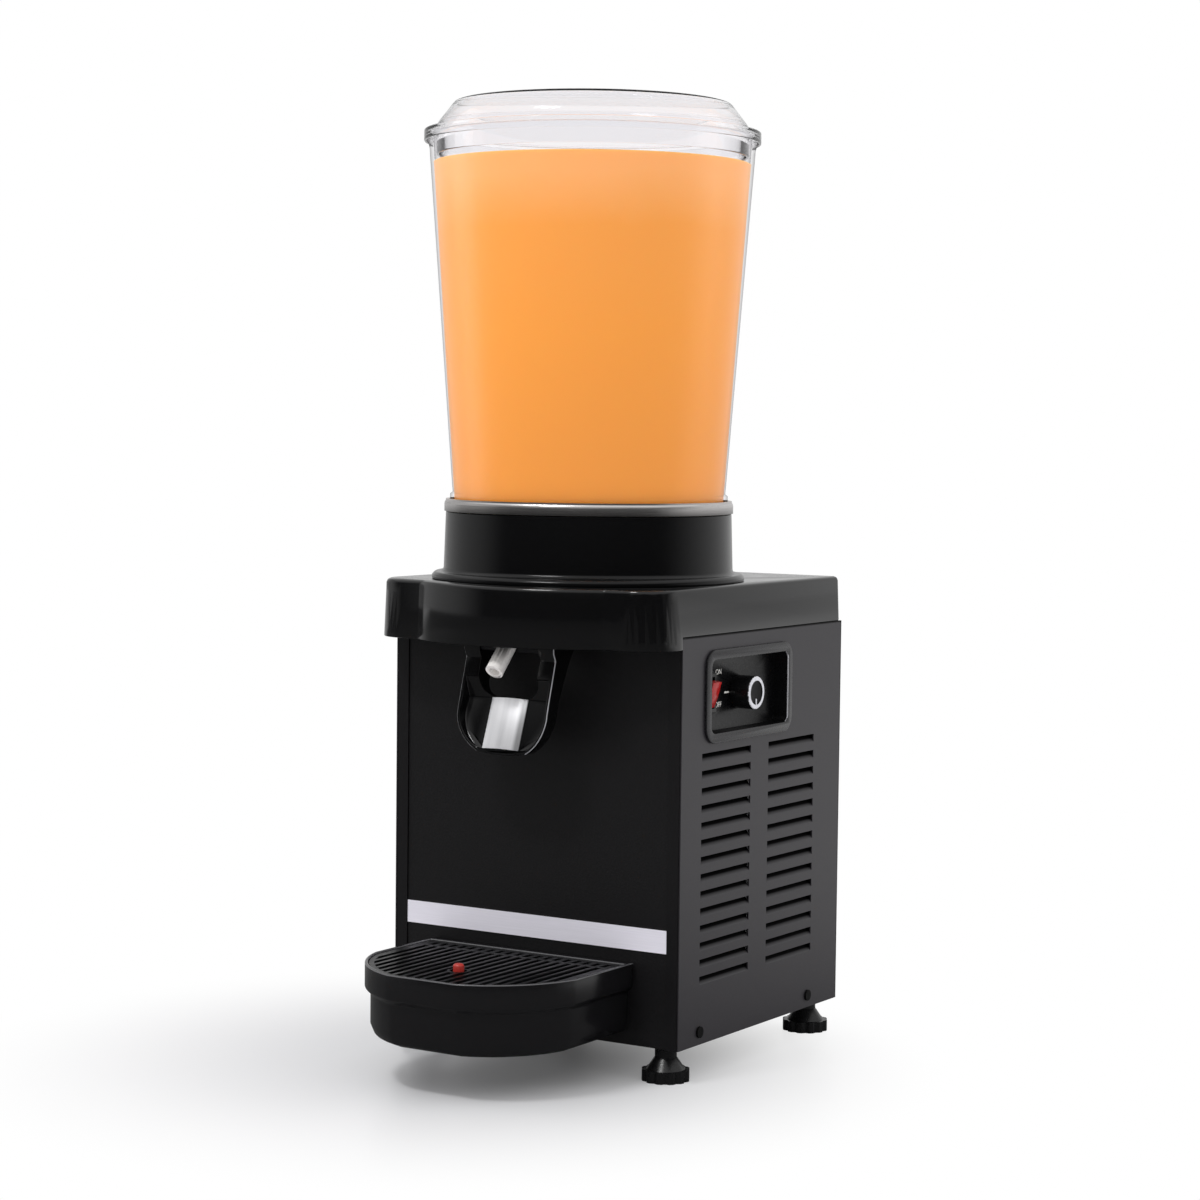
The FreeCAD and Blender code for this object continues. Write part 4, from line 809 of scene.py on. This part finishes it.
# Drip tray
# A bowed glossy tray hangs on two lugs. A slatted grate lies in it, and a red float comes up
# through the grate when it is full.
tray = refined("drip_tray", edge=0.0009, steps=3, flat=0.6, weld=0.0003, clamp=False)
tray_gloss = finish("tray_gloss_moulding", (0.006, 0.0058, 0.0066), 0.2, 700, 0.015, spread=0.3)
tray.data.materials.append(tray_gloss)
# Painted highlight: a paler finish on the tray's upper rounded rim, where it faces up.
rim_highlight_paint = finish("painted_rim_highlight", (0.1, 0.1, 0.105), 0.25, 900, 0.02)
tray_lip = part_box("drip_tray")[1].z - 0.0015
paint_edge_highlight(tray, rim_highlight_paint, lambda at, normal: at.z > tray_lip and 0.25 < normal.z < 0.95)
grate = refined("drip_grate", edge=0.0003, steps=1, weld=0.0002, clamp=False)
grate_black = finish("grate_black", black_moulding, 0.35, 500, 0.05, specular=0.2)
grate.data.materials.append(grate_black)
red_float = refined("float_indicator", edge=0.0004)
float_red = finish("float_red", (0.5, 0.04, 0.03), 0.35, 300, 0.03)
red_float.data.materials.append(float_red)

# Feet
# Scalloped black feet moulded round bright steel studs, screwed up into nuts on the base. Foot
# and stud are one solid, so the bright metal starts at the height where the stud does.
stud_base = 0.0216
foot_black = finish("foot_moulding", (0.005, 0.005, 0.0055), 0.3, 500, 0.1)
tree = foot_black.node_tree
moulding = tree.nodes["Principled BSDF"]
colour = moulding.inputs["Base Color"]
place = tree.nodes.new("ShaderNodeTexCoord")
parts = tree.nodes.new("ShaderNodeSeparateXYZ")
tree.links.new(place.outputs["Object"], parts.inputs[0])
stud = worked(tree, "GREATER_THAN", parts.outputs["Z"], stud_base)
tone = tree.nodes.new("ShaderNodeMix")
tone.data_type = "RGBA"
tone.inputs[7].default_value = (0.6, 0.6, 0.62, 1)
tree.links.new(stud, tone.inputs[0])
tree.links.new(colour.links[0].from_socket, tone.inputs[6])
tree.links.new(tone.outputs[2], colour)
tree.links.new(stud, moulding.inputs["Metallic"])
for name in ("foot_front_left", "foot_front_right", "foot_rear_left", "foot_rear_right"):
    dress(name, foot_black)

# Inside
# Galvanised base and deck, copper lines and coil, foam round the basin, the black compressor on
# rubber mounts, and the finned condenser with its fan.
zinc = finish("galvanised_steel", (0.5, 0.51, 0.52), 0.45, 70, 0.05, metallic=1.0, spread=0.4)
for name in ("base_pan", "foot_nuts", "deck_plate", "tray_lugs", "fan_shroud", "drive_motor",
             "thermostat_body"):
    dress(name, zinc)
copper = finish("copper_tube", (0.72, 0.32, 0.17), 0.3, 150, 0.05, metallic=1.0)
dress("evaporator_coil", copper)
dress("refrigerant_lines", copper)
foam = finish("basin_foam", (0.75, 0.68, 0.45), 0.85, 1200, 0.4)
dress("basin_insulation", foam)
can_black = finish("compressor_paint", (0.015, 0.015, 0.016), 0.28, 300, 0.04)
dress("compressor", can_black)
dress("fan_motor", can_black)
dress("compressor_grommets", rubber)
fins = finish("fin_aluminium", (0.7, 0.71, 0.72), 0.35, 200, 0.08, metallic=1.0)
dress("condenser", fins)
dress("fan_blade", fins)
